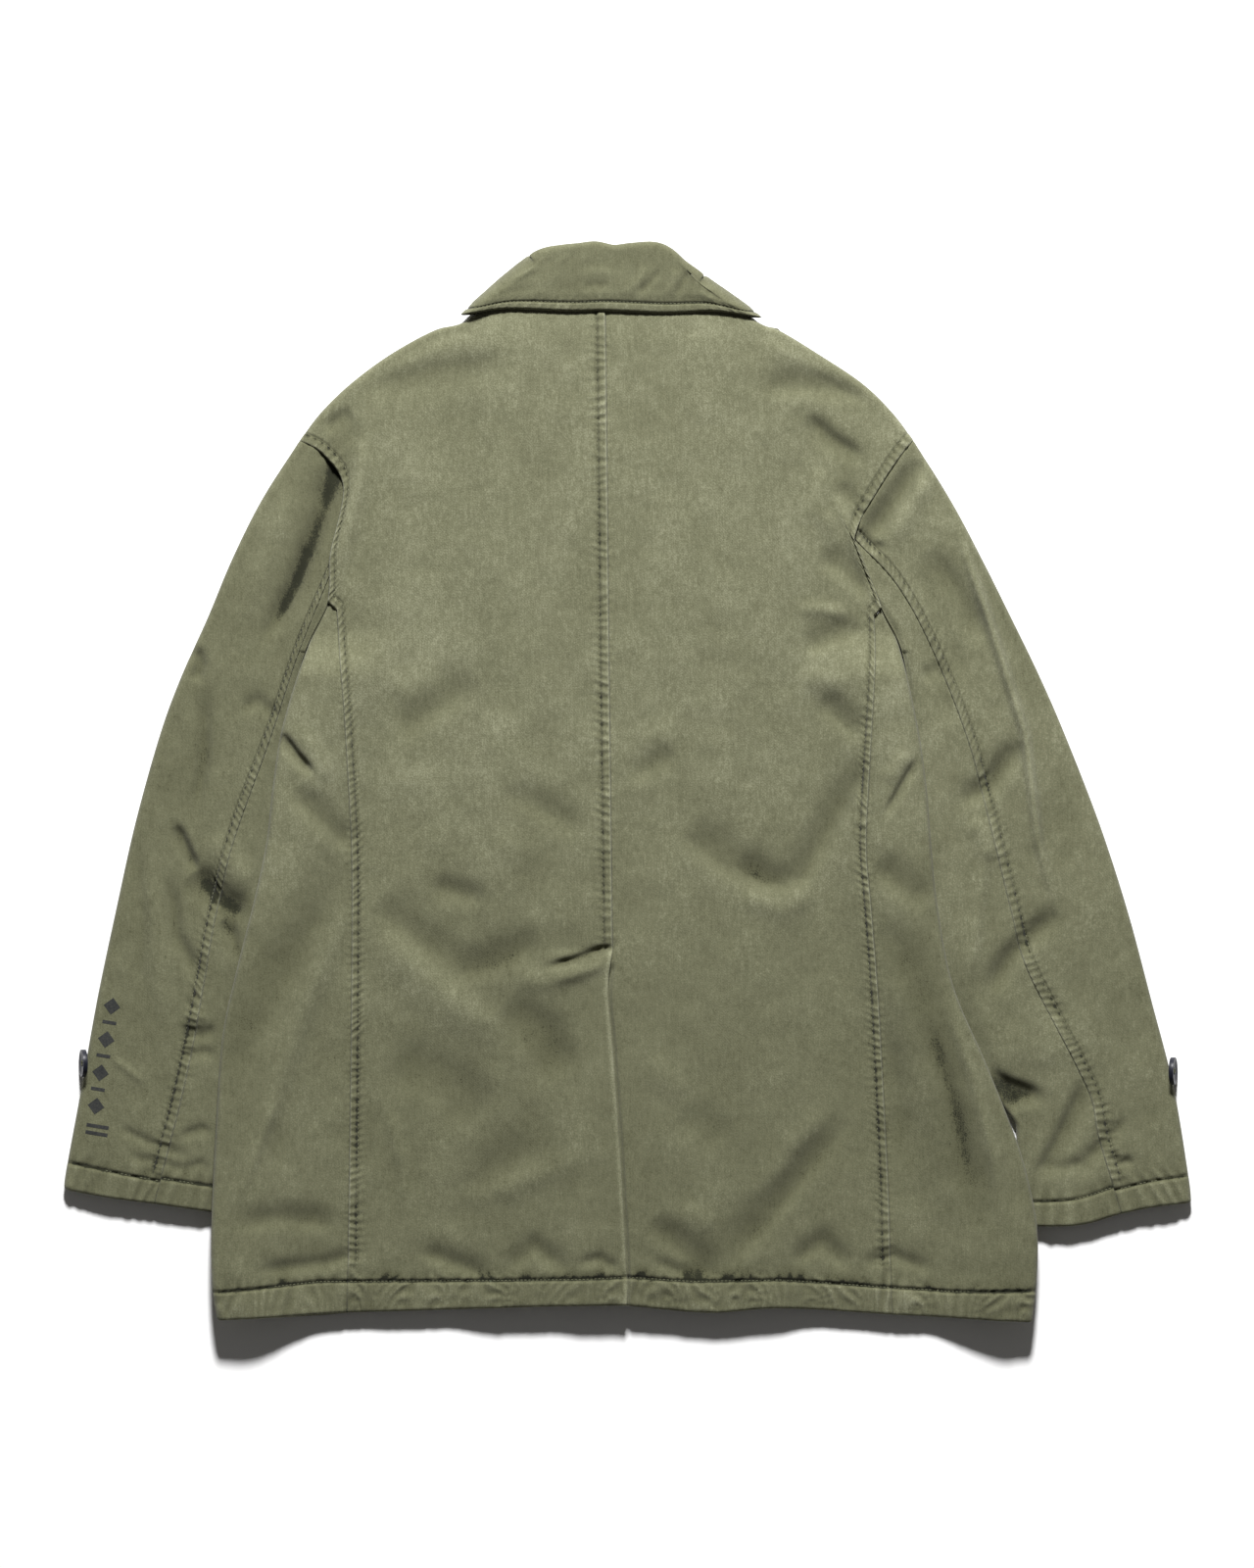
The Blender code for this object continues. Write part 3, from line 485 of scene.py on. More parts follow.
# Creases of back and sides: columns height, half widths to the left and right of
# their run, and x and y of the points in it. A negative height is a trough.
BODY_CREASES = (
    (-2.5, 10, 14, -203, 297, -151, 313, -91, 322),
    (2.0, 16, 16, -192, 319, -143, 334, -91, 342),
    (-3.0, 7, 7, -211, 283, -222, 277, -233, 271),
    (-2.4, 9, 9, -207, 279, -222, 257, -218, 223),
    (2.8, 8, 6, -200, 272, -208, 223, -221, 171, -227, 148),
    (-3.0, 16, 10, -181, 37, -151, 55, -115, 78),
    (1.6, 16, 16, -181, 62, -143, 81),
    (-5.0, 3, 5, -265, 37, -254, 21, -241, 6),
    (1.4, 7, 7, -256, 42, -237, 17, -226, -2),
    (-4.6, 11, 7, -256, -6, -237, -26, -209, -53),
    (-4.2, 14, 20, -223, -71, -263, -141, -302, -216, -310, -249),
    (1.8, 8, 8, -217, -99, -250, -182, -293, -302),
    (1.2, 4, 4, -265, -234, -284, -283, -301, -326),
    (-3.4, 15, 10, -193, -93, -158, -122, -128, -140),
    (-4.2, 14, 9, -139, -146, -106, -140, -67, -120),
    (-3.4, 9, 8, -151, -79, -134, -84, -109, -90),
    (-2.8, 12, 8, -94, -6, -64, -21, -34, -39),
    (1.2, 12, 12, -106, -47, -61, -54),
    (3.0, 12, 16, -199, -114, -139, -167, -91, -198),
    (-4.4, 18, 22, -184, -207, -143, -224, -106, -257),
    (-3.0, 12, 14, -70, -272, -106, -299, -142, -339),
    (-4.4, 14, 19, -94, -168, -61, -194, -46, -227),
    (1.8, 9, 9, -91, -152, -61, -152, -22, -140),
    (-4.8, 3, 3, -61, -142, -38, -135, -11, -125),
    (2.0, 5, 5, -59, -153, -37, -146, -14, -138),
    (-3.6, 9, 5, -158, -359, -128, -371, -106, -377),
    (-3.6, 9, 6, -94, -374, -72, -356, -46, -375),
    (-2.6, 5, 4, -38, -369, -22, -365, -8, -374),
    (2.0, 10, 10, -151, -328, -91, -309, -31, -287),
    (1.6, 5, 5, -187, -245, -172, -294, -169, -335),
    (-3.0, 10, 7, -301, -339, -267, -333, -222, -339),
    (-2.8, 6, 5, -284, -374, -233, -369, -202, -359),
    (-4.4, 12, 8, 101, 301, 134, 304, 187, 297),
    (1.8, 14, 14, 97, 339, 142, 327, 172, 315),
    (-4.8, 6, 8, 136, 280, 153, 264, 179, 247),
    (-4.6, 13, 8, 146, 174, 166, 163, 188, 144),
    (2.4, 8, 8, 148, 241, 146, 208, 158, 187),
    (-3.2, 7, 7, 163, 229, 173, 211, 179, 196),
    (2.4, 10, 5, 158, 223, 172, 189, 182, 157, 197, 127),
    (-4.0, 11, 6, 133, 102, 154, 109, 179, 118),
    (2.2, 6, 6, 131, 132, 149, 132, 169, 127),
    (-3.4, 11, 8, 145, 64, 163, 48, 182, 34),
    (2.0, 10, 10, 130, 81, 153, 77, 172, 72),
    (-4.2, 20, 9, 44, -38, 74, -62, 112, -81),
    (-4.6, 11, 5, 83, -62, 104, -75, 124, -80),
    (-4.6, 13, 6, 112, -81, 133, -72, 154, -36, 181, 16),
    (2.0, 9, 9, 83, -86, 119, -98, 143, -83),
    (-2.2, 11, 8, -1, 3, 14, 10, 35, 24),
    (1.4, 12, 12, 7, 27, 37, 38),
    (-3.0, 4, 3, 221, 18, 209, -3, 196, -26),
    (1.5, 6, 6, 213, 24, 198, -2),
    (-4.0, 13, 9, 189, -62, 205, -75, 229, -96),
    (-4.8, 17, 14, 198, -99, 223, -159, 241, -219, 258, -287, 272, -347),
    (-3.4, 5, 6, 232, -189, 253, -257, 262, -302),
    (2.6, 6, 6, 241, -159, 262, -219, 280, -287, 287, -339),
    (-4.4, 7, 16, 170, -257, 139, -294, 107, -333, 71, -374),
    (2.0, 9, 9, 157, -248, 124, -284, 94, -323),
    (-4.4, 12, 8, 17, -336, 44, -359, 71, -378),
    (-3.0, 6, 5, 20, -366, 37, -374, 67, -377),
    (2.0, 10, 10, 37, -328, 67, -339),
    (-3.6, 9, 6, 124, -368, 149, -353, 170, -374),
    (-2.6, 6, 5, 179, -369, 203, -363, 232, -374),
    (-1.8, 14, 14, 37, -253, 74, -276),
    (1.4, 12, 12, 14, -212, 44, -242),
    (-1.6, 8, 8, 198, -182, 205, -234, 208, -294),
)

BODY_SOFT = ((0.55, 34.0, 11), (0.32, 15.0, 12))
BODY_FINE = ((0.10, 6.5, 13),)
SHOULDER_CLEAR = 16.0   # folds end this far below the shoulders
HEM_SEED = 61
HEM_SKEW, HEM_SKEW_CELL = 1.5, 16.0
HEM_PITCH, HEM_FINE_PITCH = 10.0, 5.5
HEM_FILL = 0.4          # how much the hem's filling lifts it, then its gathers
HEM_GATHERS, HEM_STEADY, HEM_FINE = 2.3, 0.6, 0.7
HEM_SLOPE = 1.8         # how far it slopes down towards the groove
HEM_BEYOND = 2.6        # how high the gathers run on above the groove, and how far
HEM_BEYOND_REACH, HEM_BEYOND_CELL = 5.0, 25.0
GROOVE_WIDTH = 1.1
HEM_SINK = 1.9          # depth of the groove
BEYOND_MEAN = 0.42
BEYOND_SHADE = 0.5       # how much painted shade darkens it between those gathers
GATHER_SHADING = 0.8         # how much gathers on a filled band are painted paler as highlight, and darker between
# painted shade in the stitched groove
GROOVE_SHADE = 0.9
POCKET_SHADE = 0.45      # dark pockets of painted shade here and there above the groove
POCKET_CELL = 11.0
POCKET_FROM = 0.05      # how high a random hill has to be to make one
POCKET_LOW, POCKET_MORE = 3.0, 6.0
DEEPEST = 7.5           # how far a trough can go down before it meets the layer below
# Painted shading of creases: ridges painted paler as highlight, troughs painted darker as shade.
RIDGE_HIGHLIGHT, TROUGH_SHADE = 0.06, 0.09
BLACK_FROM = 4.6        # depth from which a trough's painted shade darkens fast
BLACK_SHADE = 0.22
DARKEST_SHADE = 0.8
# how much the soft hills are painted paler where high and darker where low
SOFT_SHADING = 0.18
LOW_SHADE = 0.22         # painted shade, as the lower half lies away from the light
LOW_FROM, LOW_RAMP = 60.0, 240.0


def hem_band(x, y):
    """The filled band below the stitched groove, drawn into short upright puckers, with its
    painted shading.
    """
    leftward = x < CENTRE_X
    groove_y, edge_y = (np.where(leftward, line_y(table["left"], x), line_y(table["right"], x))
                        for table in (HEM_GROOVE, HEM_EDGE))
    above = y - groove_y
    across = (y - edge_y) / (groove_y - edge_y)
    askew = HEM_SKEW * above * rumple(x, 0 * y, HEM_SKEW_CELL, HEM_SEED)
    gathers = pucker(x + askew, HEM_SEED + 1, HEM_PITCH)
    fine = pucker(x - askew, HEM_SEED + 5, HEM_FINE_PITCH)
    inside = ease(-above / HEM_SLOPE)
    swell = inside * (HEM_FILL + HEM_GATHERS * gathers * ease(across / 0.7)
                      + HEM_STEADY * gathers + HEM_FINE * fine)
    uneven = HEM_BEYOND_REACH * rumple(x, 0 * y, HEM_BEYOND_CELL, HEM_SEED + 3)
    reach = np.maximum(HEM_BEYOND_REACH + uneven, HEM_BEYOND_REACH / 2)
    beyond = (above > 0) * bell(above - 2.0, reach)
    beyond = beyond * HEM_BEYOND * (0.7 * gathers + 0.3 * fine - BEYOND_MEAN)
    # Gathers painted paler as highlight; painted shade in the groove, between the gathers above
    # it and in pockets.
    shade = (GATHER_SHADING * inside * (gathers - GATHER_MEAN) - GROOVE_SHADE * bell(above, 1.3)
             + BEYOND_SHADE * np.minimum(beyond, 0))
    pocket = ease((rumple(x, 0 * y, POCKET_CELL, HEM_SEED + 6) - POCKET_FROM) / 0.5)
    pocket = pocket * ease(above / 2) * bell(above - 1, POCKET_LOW + POCKET_MORE * pocket)
    groove = HEM_SINK * bell(above, GROOVE_WIDTH)
    return swell - groove + beyond, shade - POCKET_SHADE * pocket


def settled(folds):
    """Troughs that run into one another go no deeper than the layers beneath."""
    return np.maximum(folds, 0) - DEEPEST * np.tanh(np.maximum(-folds, 0) / DEEPEST)


def fold_shading(folds):
    """Painted shading of creases: ridges painted paler as highlight, troughs painted dark as
    shade, and the deepest painted black.
    """
    trough = np.maximum(-folds, 0)
    shade = TROUGH_SHADE * trough + BLACK_SHADE * np.maximum(trough - BLACK_FROM, 0)
    return RIDGE_HIGHLIGHT * np.maximum(folds, 0) - DARKEST_SHADE * np.tanh(shade / DARKEST_SHADE)


def body_face(x, y):
    """Height and painted shading of the outer face of back and sides."""
    depth = shoulder_depth(x, y)
    gap = LAYER_GAP + (BODY_GAP - LAYER_GAP) * ease(depth / BODY_GAP_REACH)
    low, high = FRONT_LAPS
    doubled = (1 - ease((x - high) / LAP_RAMP)) * (1 - ease((low - x) / LAP_RAMP))
    base = lift(x, y) + (WALL + LAYER_GAP) * doubled + 2 * WALL + gap
    folds = settled(creases(x, y, BODY_CREASES)) * ease((depth - 2) / SHOULDER_CLEAR)
    soft = rumpled(x, y, BODY_SOFT)
    band, band_shade = hem_band(x, y)
    # Painted shade in troughs, lower down and in the hem band; painted highlight on ridges and
    # high soft hills.
    low_down = LOW_SHADE * ease((LOW_FROM - y) / LOW_RAMP)
    marks = fold_shading(folds) + SOFT_SHADING * soft + band_shade - low_down
    return base + folds + soft + rumpled(x, y, BODY_FINE) + band, marks


# The darkest stop, near black, is reached only by the painted shade of the deepest creases and
# pits.
OLIVE_SHADOW_BLACK = (0.014, 0.015, 0.006, 1)
OLIVE_DARK = (0.078, 0.078, 0.041, 1)
OLIVE_MID = (0.134, 0.135, 0.079, 1)
OLIVE_LIGHT = (0.270, 0.272, 0.180, 1)
DARK_AT, MID_AT = 0.12, 0.5
TWILL_ANGLE = math.radians(27)
TWILL_SCALE = 300.0
TWILL_DEPTH = 0.00045
WEAR_AND_SHADE_TINT = 0.55        # how much the wear and painted shading shift the tone
WEAR_AND_SHADE_CALM = 1.15        # beyond this much darkening by painted shade the noises calm down
# Columns: noise scale, its stretch along x, y and z, detail, and how much it tints.
TWILL_NOISE = {
    "blotch": (16.0, (1, 1, 1), 3.0, 0.26),
    "cloud": (70.0, (1, 0.8, 1), 4.0, 0.26),
    "slub": (260.0, (4.0, 0.34, 1), 3.0, 0.34),
    "thread": (900.0, (1, 1, 1), 2.0, 0.80),
    "mottle": (240.0, (1, 0.7, 1), 3.0, 0.40),
}


def math_node(tree, operation, a, b):
    """The result of a calculation with two numbers or outputs."""
    node = tree.nodes.new("ShaderNodeMath")
    node.operation = operation
    for socket, value in zip(node.inputs, (a, b)):
        if isinstance(value, (int, float)):
            socket.default_value = value
        else:
            tree.links.new(value, socket)
    return node.outputs["Value"]


def noise_node(tree, scale, detail=2.0, stretch=None):
    """A noise on the piece's own coordinates."""
    place = tree.nodes.new("ShaderNodeTexCoord").outputs["Object"]
    if stretch:
        mapping = tree.nodes.new("ShaderNodeMapping")
        mapping.inputs["Scale"].default_value = stretch
        tree.links.new(place, mapping.inputs["Vector"])
        place = mapping.outputs["Vector"]
    texture = tree.nodes.new("ShaderNodeTexNoise")
    texture.inputs["Scale"].default_value = scale
    texture.inputs["Detail"].default_value = detail
    tree.links.new(place, texture.inputs["Vector"])
    return texture.outputs["Fac"]


def colour_ramp(tree, shader, share, stops):
    """Colours that follow one another over a share from nought to one."""
    ramp = tree.nodes.new("ShaderNodeValToRGB")
    elements = ramp.color_ramp.elements
    for element, (position, colour) in zip(elements, (stops[0], stops[-1])):
        element.position = position
        element.color = colour
    for position, colour in stops[1:-1]:
        elements.new(position).color = colour
    tree.links.new(share, ramp.inputs["Fac"])
    tree.links.new(ramp.outputs["Color"], shader.inputs["Base Color"])


def twill():
    """Washed cotton twill: a fine diagonal weave with upright slubs, paler where the
    cloth has rubbed, with painted shade in the stitched grooves and deep folds and painted
    highlight on ridges and gathers."""
    cloth, tree, shader = new_material("olive_twill", {
        "Roughness": 0.93, "Specular IOR Level": 0.22, "Sheen Weight": 0.12,
        "Sheen Roughness": 0.55})

    def calc(operation, a, b):
        return math_node(tree, operation, a, b)

    # The fade attribute carries the cloth's wear and its painted shading alike.
    wear_and_shade = tree.nodes.new("ShaderNodeAttribute")
    wear_and_shade.attribute_name = "fade"
    noises, tone = {}, 0.0
    for name, (scale, stretch, detail, tint) in TWILL_NOISE.items():
        noises[name] = noise_node(tree, scale, detail, stretch)
        tinted = calc("MULTIPLY", calc("SUBTRACT", noises[name], 0.5), tint)
        tone = calc("ADD", tone, tinted)
    calm = calc("MINIMUM", calc("ADD", wear_and_shade.outputs["Fac"], WEAR_AND_SHADE_CALM), 1.0)
    tone = calc("MULTIPLY", tone, calc("MAXIMUM", calm, 0.3))
    tone = calc("ADD", tone, calc("MULTIPLY", wear_and_shade.outputs["Fac"], WEAR_AND_SHADE_TINT))
    tone = calc("ADD", tone, 0.5)
    colour_ramp(tree, shader, tone, ((0.0, OLIVE_SHADOW_BLACK), (DARK_AT, OLIVE_DARK),
                                     (MID_AT, OLIVE_MID), (1.0, OLIVE_LIGHT)))

    turned = tree.nodes.new("ShaderNodeMapping")
    turned.inputs["Rotation"].default_value = (0, 0, TWILL_ANGLE)
    place = tree.nodes.new("ShaderNodeTexCoord")
    tree.links.new(place.outputs["Object"], turned.inputs["Vector"])
    weave = tree.nodes.new("ShaderNodeTexWave")
    weave.inputs["Scale"].default_value = TWILL_SCALE
    weave.inputs["Distortion"].default_value = 1.6
    weave.inputs["Detail"].default_value = 1.0
    tree.links.new(turned.outputs["Vector"], weave.inputs["Vector"])
    relief = calc("ADD", calc("MULTIPLY", weave.outputs["Fac"], 0.45),
                  calc("MULTIPLY", noises["slub"], 1.1))
    relief = calc("ADD", relief, calc("MULTIPLY", noises["thread"], 0.8))
    bump = tree.nodes.new("ShaderNodeBump")
    bump.inputs["Strength"].default_value = 0.55
    bump.inputs["Distance"].default_value = TWILL_DEPTH
    tree.links.new(relief, bump.inputs["Height"])
    tree.links.new(bump.outputs["Normal"], shader.inputs["Normal"])
    return cloth


shell_twill = twill()


def cut_size(points):
    """The width and length of the cloth of a grid, spread flat, in metres."""
    def longest(grid):
        steps = np.sqrt((np.diff(grid, axis=1) ** 2).sum(-1))
        return float(steps.sum(1).max()) * MM
    return longest(points), longest(points.transpose(1, 0, 2))


def declare(points):
    """Works out a panel's cloth size, spread flat; the size is not kept."""
    cut_size(points)


def crossing(points, level):
    """The line along a grid where level climbs past nought in each row."""
    passes = (level[:, :-1] < 0) & (level[:, 1:] >= 0)
    rows = np.nonzero(passes.any(1))[0]
    k = passes.argmax(1)[rows]
    before, after = level[rows, k], level[rows, k + 1]
    t = (-before / (after - before))[:, None]
    return points[rows, k] * (1 - t) + points[rows, k + 1] * t


def armhole(side):
    """The whole edge of a panel from the underarm to the shoulder tip."""
    return joined(line(ARMHOLE_LOW[side]), line(ARMHOLE_HIGH[side]))


def hem_groove(side, points):
    """Where a panel's grid crosses the stitched groove above the hem."""
    above = points[..., 1] - line_y(HEM_GROOVE[side], points[..., 0])
    return crossing(points.transpose(1, 0, 2), above.T)


stitch_lines = []       # where the topstitching runs, for the sewing below
BACK_HEM = {
    "left": ((-215.4, -406.8), (-144.2, -404.6), (-66.9, -401.9), (-0.9, -400.8)),
    "right": ((202.3, -408.3), (116.0, -403.4), (61.3, -406.8), (-3.9, -401.2)),
}
BACK_COLUMNS, BACK_ROWS = 84, 540
PRINCESS_SEED = {"left": 21, "right": 31}
CENTRE_SEED = 41
BAND_CLEAR = 14.0       # past this from its edge a seam's band is left out
SEAM_END, SEAM_RAMP = -376.0, 10.0      # the seams run out above the hem's groove
VENT_TOP = -129.0
VENT_RAISE = 2.2        # how much the lap lies higher at its folded edge
LAP_FLAT, LAP_SLOPE = 30.0, 26.0
LIP_RISE, LIP_FADE = 0.35, 0.55         # that edge is a full, worn lip
LIP_AT, LIP_WIDTH = 1.6, 1.8
VENT_TUCK = 3.0         # how far the right back runs on under that edge, and how deep
TUCK_SINK = 2.2

for side, _ in SIDES:
    outer = joined(line(PRINCESS_SEAM[side]), armhole(side))
    vent = np.array(VENT_EDGE)
    if side == "right":
        vent[:-1] -= (VENT_TUCK, 0.0)
    centre = joined(line(vent), line(CENTRE_SEAM))
    length = 0.5 * (outer.length + centre.length)
    rows, row_drop = stepped(HEM_FACE, SHOULDER_FACE, length, BACK_ROWS)
    rows = rows[0]
    v = rows / length
    width = np.hypot(*(outer(v) - centre(v)).T)
    across, column_drop = stepped(SEAM_FACE, SEAM_FACE, width, BACK_COLUMNS)
    u = across / width[:, None]
    plane = coons(outer, centre, line(BACK_HEM[side]), line(SHOULDER[side]), u,
                  np.broadcast_to(v[:, None], u.shape))
    x, y = plane[..., 0], plane[..., 1]
    height, marks = body_face(x, y)
    from_centre = width[:, None] - across
    along = np.broadcast_to(rows[:, None], u.shape)
    below_vent = y < VENT_TOP
    seed = PRINCESS_SEED[side]
    on_seam = ease((y - SEAM_END) / SEAM_RAMP)
    height = height + seam_band(across, along, seed) * on_seam * (across < BAND_CLEAR)
    marks = marks + band_wear_and_shade(across, along, seed) * on_seam * (across < BAND_CLEAR - 2)
    if side == "left":
        above = ease((y - VENT_TOP) / 6) * (from_centre < BAND_CLEAR)
        height = height + seam_band(from_centre, along, CENTRE_SEED) * above
        marks = marks + band_wear_and_shade(from_centre, along, CENTRE_SEED) * above
        raised = 1 - ease((from_centre - LAP_FLAT) / LAP_SLOPE)
        height = height + VENT_RAISE * raised * ease((VENT_TOP + 2 - y) / 8)
        lip = bell(from_centre - LIP_AT, LIP_WIDTH) * below_vent
        height = height + LIP_RISE * lip
        marks = marks + LIP_FADE * lip
    else:
        plain_side = seam_side(from_centre, along, CENTRE_SEED + 1)
        height = height + np.where(below_vent, 0, plain_side)
        tucked = 1 - ease((from_centre - VENT_TUCK - 0.4) / 3.0)
        height = height - TUCK_SINK * tucked * ease((VENT_TOP - 8 - y) / 10)
        # Painted shade along the edge that runs under the left back's lap.
        marks = marks - 0.3 * below_vent * bell(from_centre, 0.9)
    points = np.dstack((x, y, height - (row_drop[:, None] + column_drop[None])))
    back = add_sheet(f"shell_back_{side}", points, marks, shell_twill)
    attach(back, "root")
    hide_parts(f"back_{side}")
    declare(points)
    sewn_here = (y > SEAM_END) & (rows[:, None] < length - 4)
    stitch_lines.append(crossing(points, np.where(sewn_here, across - BAND, 1.0)))
    if side == "left":
        above_vent = np.where(y > VENT_TOP + 4, BAND - from_centre, -1.0)
        stitch_lines.append(crossing(points, above_vent))
    stitch_lines.append(hem_groove(side, points))

# ---------------------------------------------------------------------------
# The two side panels. Each runs from its princess seam over the arm beneath it,
# turns softly round at the side and goes on underneath to the front.

FRONT_SEAM = {
    "left": ((-236.0, -409.5), (-238.0, -302.0), (-228.0, -150.0), (-205.0, -20.0),
             (-210.0, 60.0), (-219.0, 105.0), (-223.5, 131.0)),
    "right": ((230.0, -410.5), (232.0, -302.0), (205.0, -150.0), (170.0, -20.0),
              (176.0, 60.0), (184.0, 100.0), (188.5, 126.5)),
}
SIDE_COLUMNS, SIDE_ROWS = 42, 410
UNDER_SHARES = np.linspace(0.0, 1.0, 15)
ARC_ANGLES = np.radians(np.arange(78.0, -79.0, -12.0))
EDGE_DROOP = 1.6        # how much the face sinks towards a soft edge
DROOP_REACH = 9.0
FIRST_INSET, MOST_INSET = 5.5, 0.45     # of the soft edge: in mm, and as a share
INSET_ROUNDS = 3
HEM_SHRINK = 0.8        # how far the soft edge draws in where the hem turns up
TIP_STEPS = np.array((0.0, 0.8, 1.6, 2.4))
TIP = (TIP_STEPS, np.zeros(len(TIP_STEPS)))


def wrapped(top, under, width, row_drop, columns, face, ground):
    """Points, with their wear and painted shading, of a piece that runs from its seam over
    the top, round a soft edge and back underneath. top(u) and under(u) give its plane points."""
    inset = np.full(len(width), FIRST_INSET)
    for _ in range(INSET_ROUNDS):
        centre = top(1 - (inset / width)[:, None])
        x, y = centre[..., 0], centre[..., 1]
        crest = face(x, y, (width - inset)[:, None])[0][:, 0] - EDGE_DROOP
        floor_height = ground(x, y)[:, 0]
        inset = np.minimum(0.5 * (crest - floor_height), MOST_INSET * width)
    across, drop = stepped(SEAM_FACE, TIP, width - inset, columns)
    plane = top(across / width[:, None])
    height, shade = face(plane[..., 0], plane[..., 1], across)
    sag = EDGE_DROOP * bell((width - inset)[:, None] - across, DROOP_REACH)
    upper = np.dstack((plane, height - sag - drop[None] - row_drop[:, None]))
    centre = plane[:, -1]
    out = top(np.ones((len(width), 1)))[:, 0] - centre
    half = 0.5 * (upper[:, -1, 2] + row_drop - floor_height)
    middle = floor_height + half
    cos, sin = np.cos(ARC_ANGLES)[None], np.sin(ARC_ANGLES)[None]
    shrink = 1 - HEM_SHRINK * np.minimum(row_drop / np.hypot(*out.T), 1)[:, None]
    flat = centre[:, None] + out[:, None] * (shrink * cos)[..., None]
    arc = np.dstack((flat, middle[:, None] + (half - row_drop)[:, None] * sin))
    share = ease(4 * UNDER_SHARES[None, :, None])
    below = centre[:, None] * (1 - share) + share * under(UNDER_SHARES)
    lower = np.dstack((below, ground(below[..., 0], below[..., 1]) + row_drop[:, None]))
    # The soft edge's arc keeps the face's painted shading, a little darker as painted shade.
    wear_and_shade = np.repeat(shade[:, -1:] * 0.7 - 0.05, len(ARC_ANGLES), 1)
    shade = np.hstack((shade, wear_and_shade, np.zeros((len(width), len(UNDER_SHARES)))))
    return np.concatenate((upper, arc, lower), axis=1), shade


for side, _ in SIDES:
    turned = line(SIDE_EDGE[side])
    rows, row_drop = stepped(HEM_FACE, TIP, turned.length, SIDE_ROWS)
    rows = rows[0]
    first, last, under_last = (at(rows / turned.length) for at in (
        line(PRINCESS_SEAM[side]), turned, line(FRONT_SEAM[side])))
    width = np.hypot(*(last - first).T)

    def over(u):
        return first[:, None] + (last - first)[:, None] * u[..., None]

    def beneath(u):
        return last[:, None] + (under_last - last)[:, None] * u[None, :, None]

    def face(x, y, across):
        height, marks = body_face(x, y)
        along = np.broadcast_to(rows[:, None], x.shape)
        seam = seam_side(across, along, PRINCESS_SEED[side])
        # Painted shading of the seam's gathers, and painted shade along the seam where the side
        # panel meets the back.
        return height + seam, marks + SEAM_SHADING * seam - 0.3 * bell(across, 0.6)

    points, marks = wrapped(over, beneath, width, row_drop, SIDE_COLUMNS, face, lift)
    panel = add_sheet(f"shell_side_{side}", points, marks, shell_twill)
    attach(panel, "root")
    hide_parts(f"side_{side}")
    declare(points)
    stitch_lines.append(hem_groove(side, points[:, :SIDE_COLUMNS]))

# ---------------------------------------------------------------------------
# The sleeves, two pieces each and flattened as they lie. The back seam with its
# puckered allowance runs down them; the body's sides hide their inner edges.

SLEEVE_OUTER = {
    "left": ((-252.2, 261.5), (-281.4, 215.7), (-303.9, 170.7), (-322.7, 125.7),
             (-342.9, 80.7), (-359.4, 35.7), (-378.2, -31.8), (-393.2, -99.3),
             (-407.4, -166.8), (-419.4, -234.3), (-431.8, -301.8), (-431.4, -313.0)),
    "right": ((218.8, 261.5), (247.3, 215.7), (271.3, 170.7), (293.8, 125.7),
              (315.6, 80.7), (335.1, 35.7), (361.3, -31.8), (383.1, -99.3),
              (401.1, -166.8), (418.3, -234.3), (429.6, -301.8), (431.8, -322.8)),
}
SLEEVE_BACK_SEAM = {
    "left": ((-228.9, 157.2), (-252.9, 97.2), (-274.7, 31.2), (-302.4, -46.8),
             (-316.7, -106.8), (-330.2, -184.8), (-341.4, -239.5), (-352.7, -283.8),
             (-363.2, -323.5)),
    "right": ((173.1, 185.7), (206.1, 149.7), (233.1, 100.2), (260.1, 31.2),
              (276.6, -31.8), (293.1, -99.3), (303.6, -139.8), (322.3, -178.0),
              (344.8, -221.5), (355.3, -245.5), (360.6, -273.3), (377.8, -331.0)),
}
SLEEVE_INNER = {
    "left": ((-230.5, 137.0), (-232.4, 129.0), (-246.2, 102.0), (-254.0, 74.0),
             (-258.0, 35.7), (-259.7, -1.8), (-261.9, -46.8), (-268.7, -91.8),
             (-282.9, -151.8), (-290.4, -196.8), (-297.2, -264.3), (-300.2, -332.5)),
    "right": ((194.5, 131.7), (197.0, 125.5), (208.4, 102.0), (214.0, 74.0),
              (216.0, 35.7), (217.3, -1.8), (219.6, -46.8), (222.6, -91.8),
              (233.0, -140.5), (254.0, -189.3), (271.0, -223.0), (285.0, -246.0),
              (294.5, -259.0), (297.5, -268.0), (297.5, -294.3), (299.1, -340.8)),
}
CUFF = {
    "left": ((-300.2, -332.5), (-321.2, -329.5), (-363.2, -323.5), (-396.9, -319.0),
             (-431.4, -313.0)),
    "right": ((299.1, -340.8), (344.1, -340.0), (377.8, -331.0), (404.1, -325.8),
              (431.8, -322.8)),
}
CUFF_SPLIT = 2          # the point of the cuff where the back seam ends
SLEEVE_GAP = 2.4
SLEEVE_SQUASHED = 1.0   # what is left of that where the body lies on the sleeve
CUFF_BAND = 20.0
CUFF_PITCH, CUFF_FINE_PITCH = 13.0, 6.0
CUFF_FILL, CUFF_GATHERS, CUFF_FINE = 0.5, 1.8, 0.8
CUFF_BEYOND, CUFF_BEYOND_REACH = 2.4, 7.0
CUFF_SINK = 1.7
SLEEVE_SOFT = ((0.5, 32.0, 14), (0.3, 14.0, 15), (0.1, 6.5, 16))
SLEEVE_LOW_SHADE = {"left": 0.30, "right": 0.14}     # painted shade, as the left arm lies away from the light
SLEEVE_LOW_FROM, SLEEVE_LOW_RAMP = 40.0, 200.0
SLEEVE_FREE_FROM = 100.0        # higher up than this the body doesn't lie on it
SLEEVE_CLEAR = 14.0
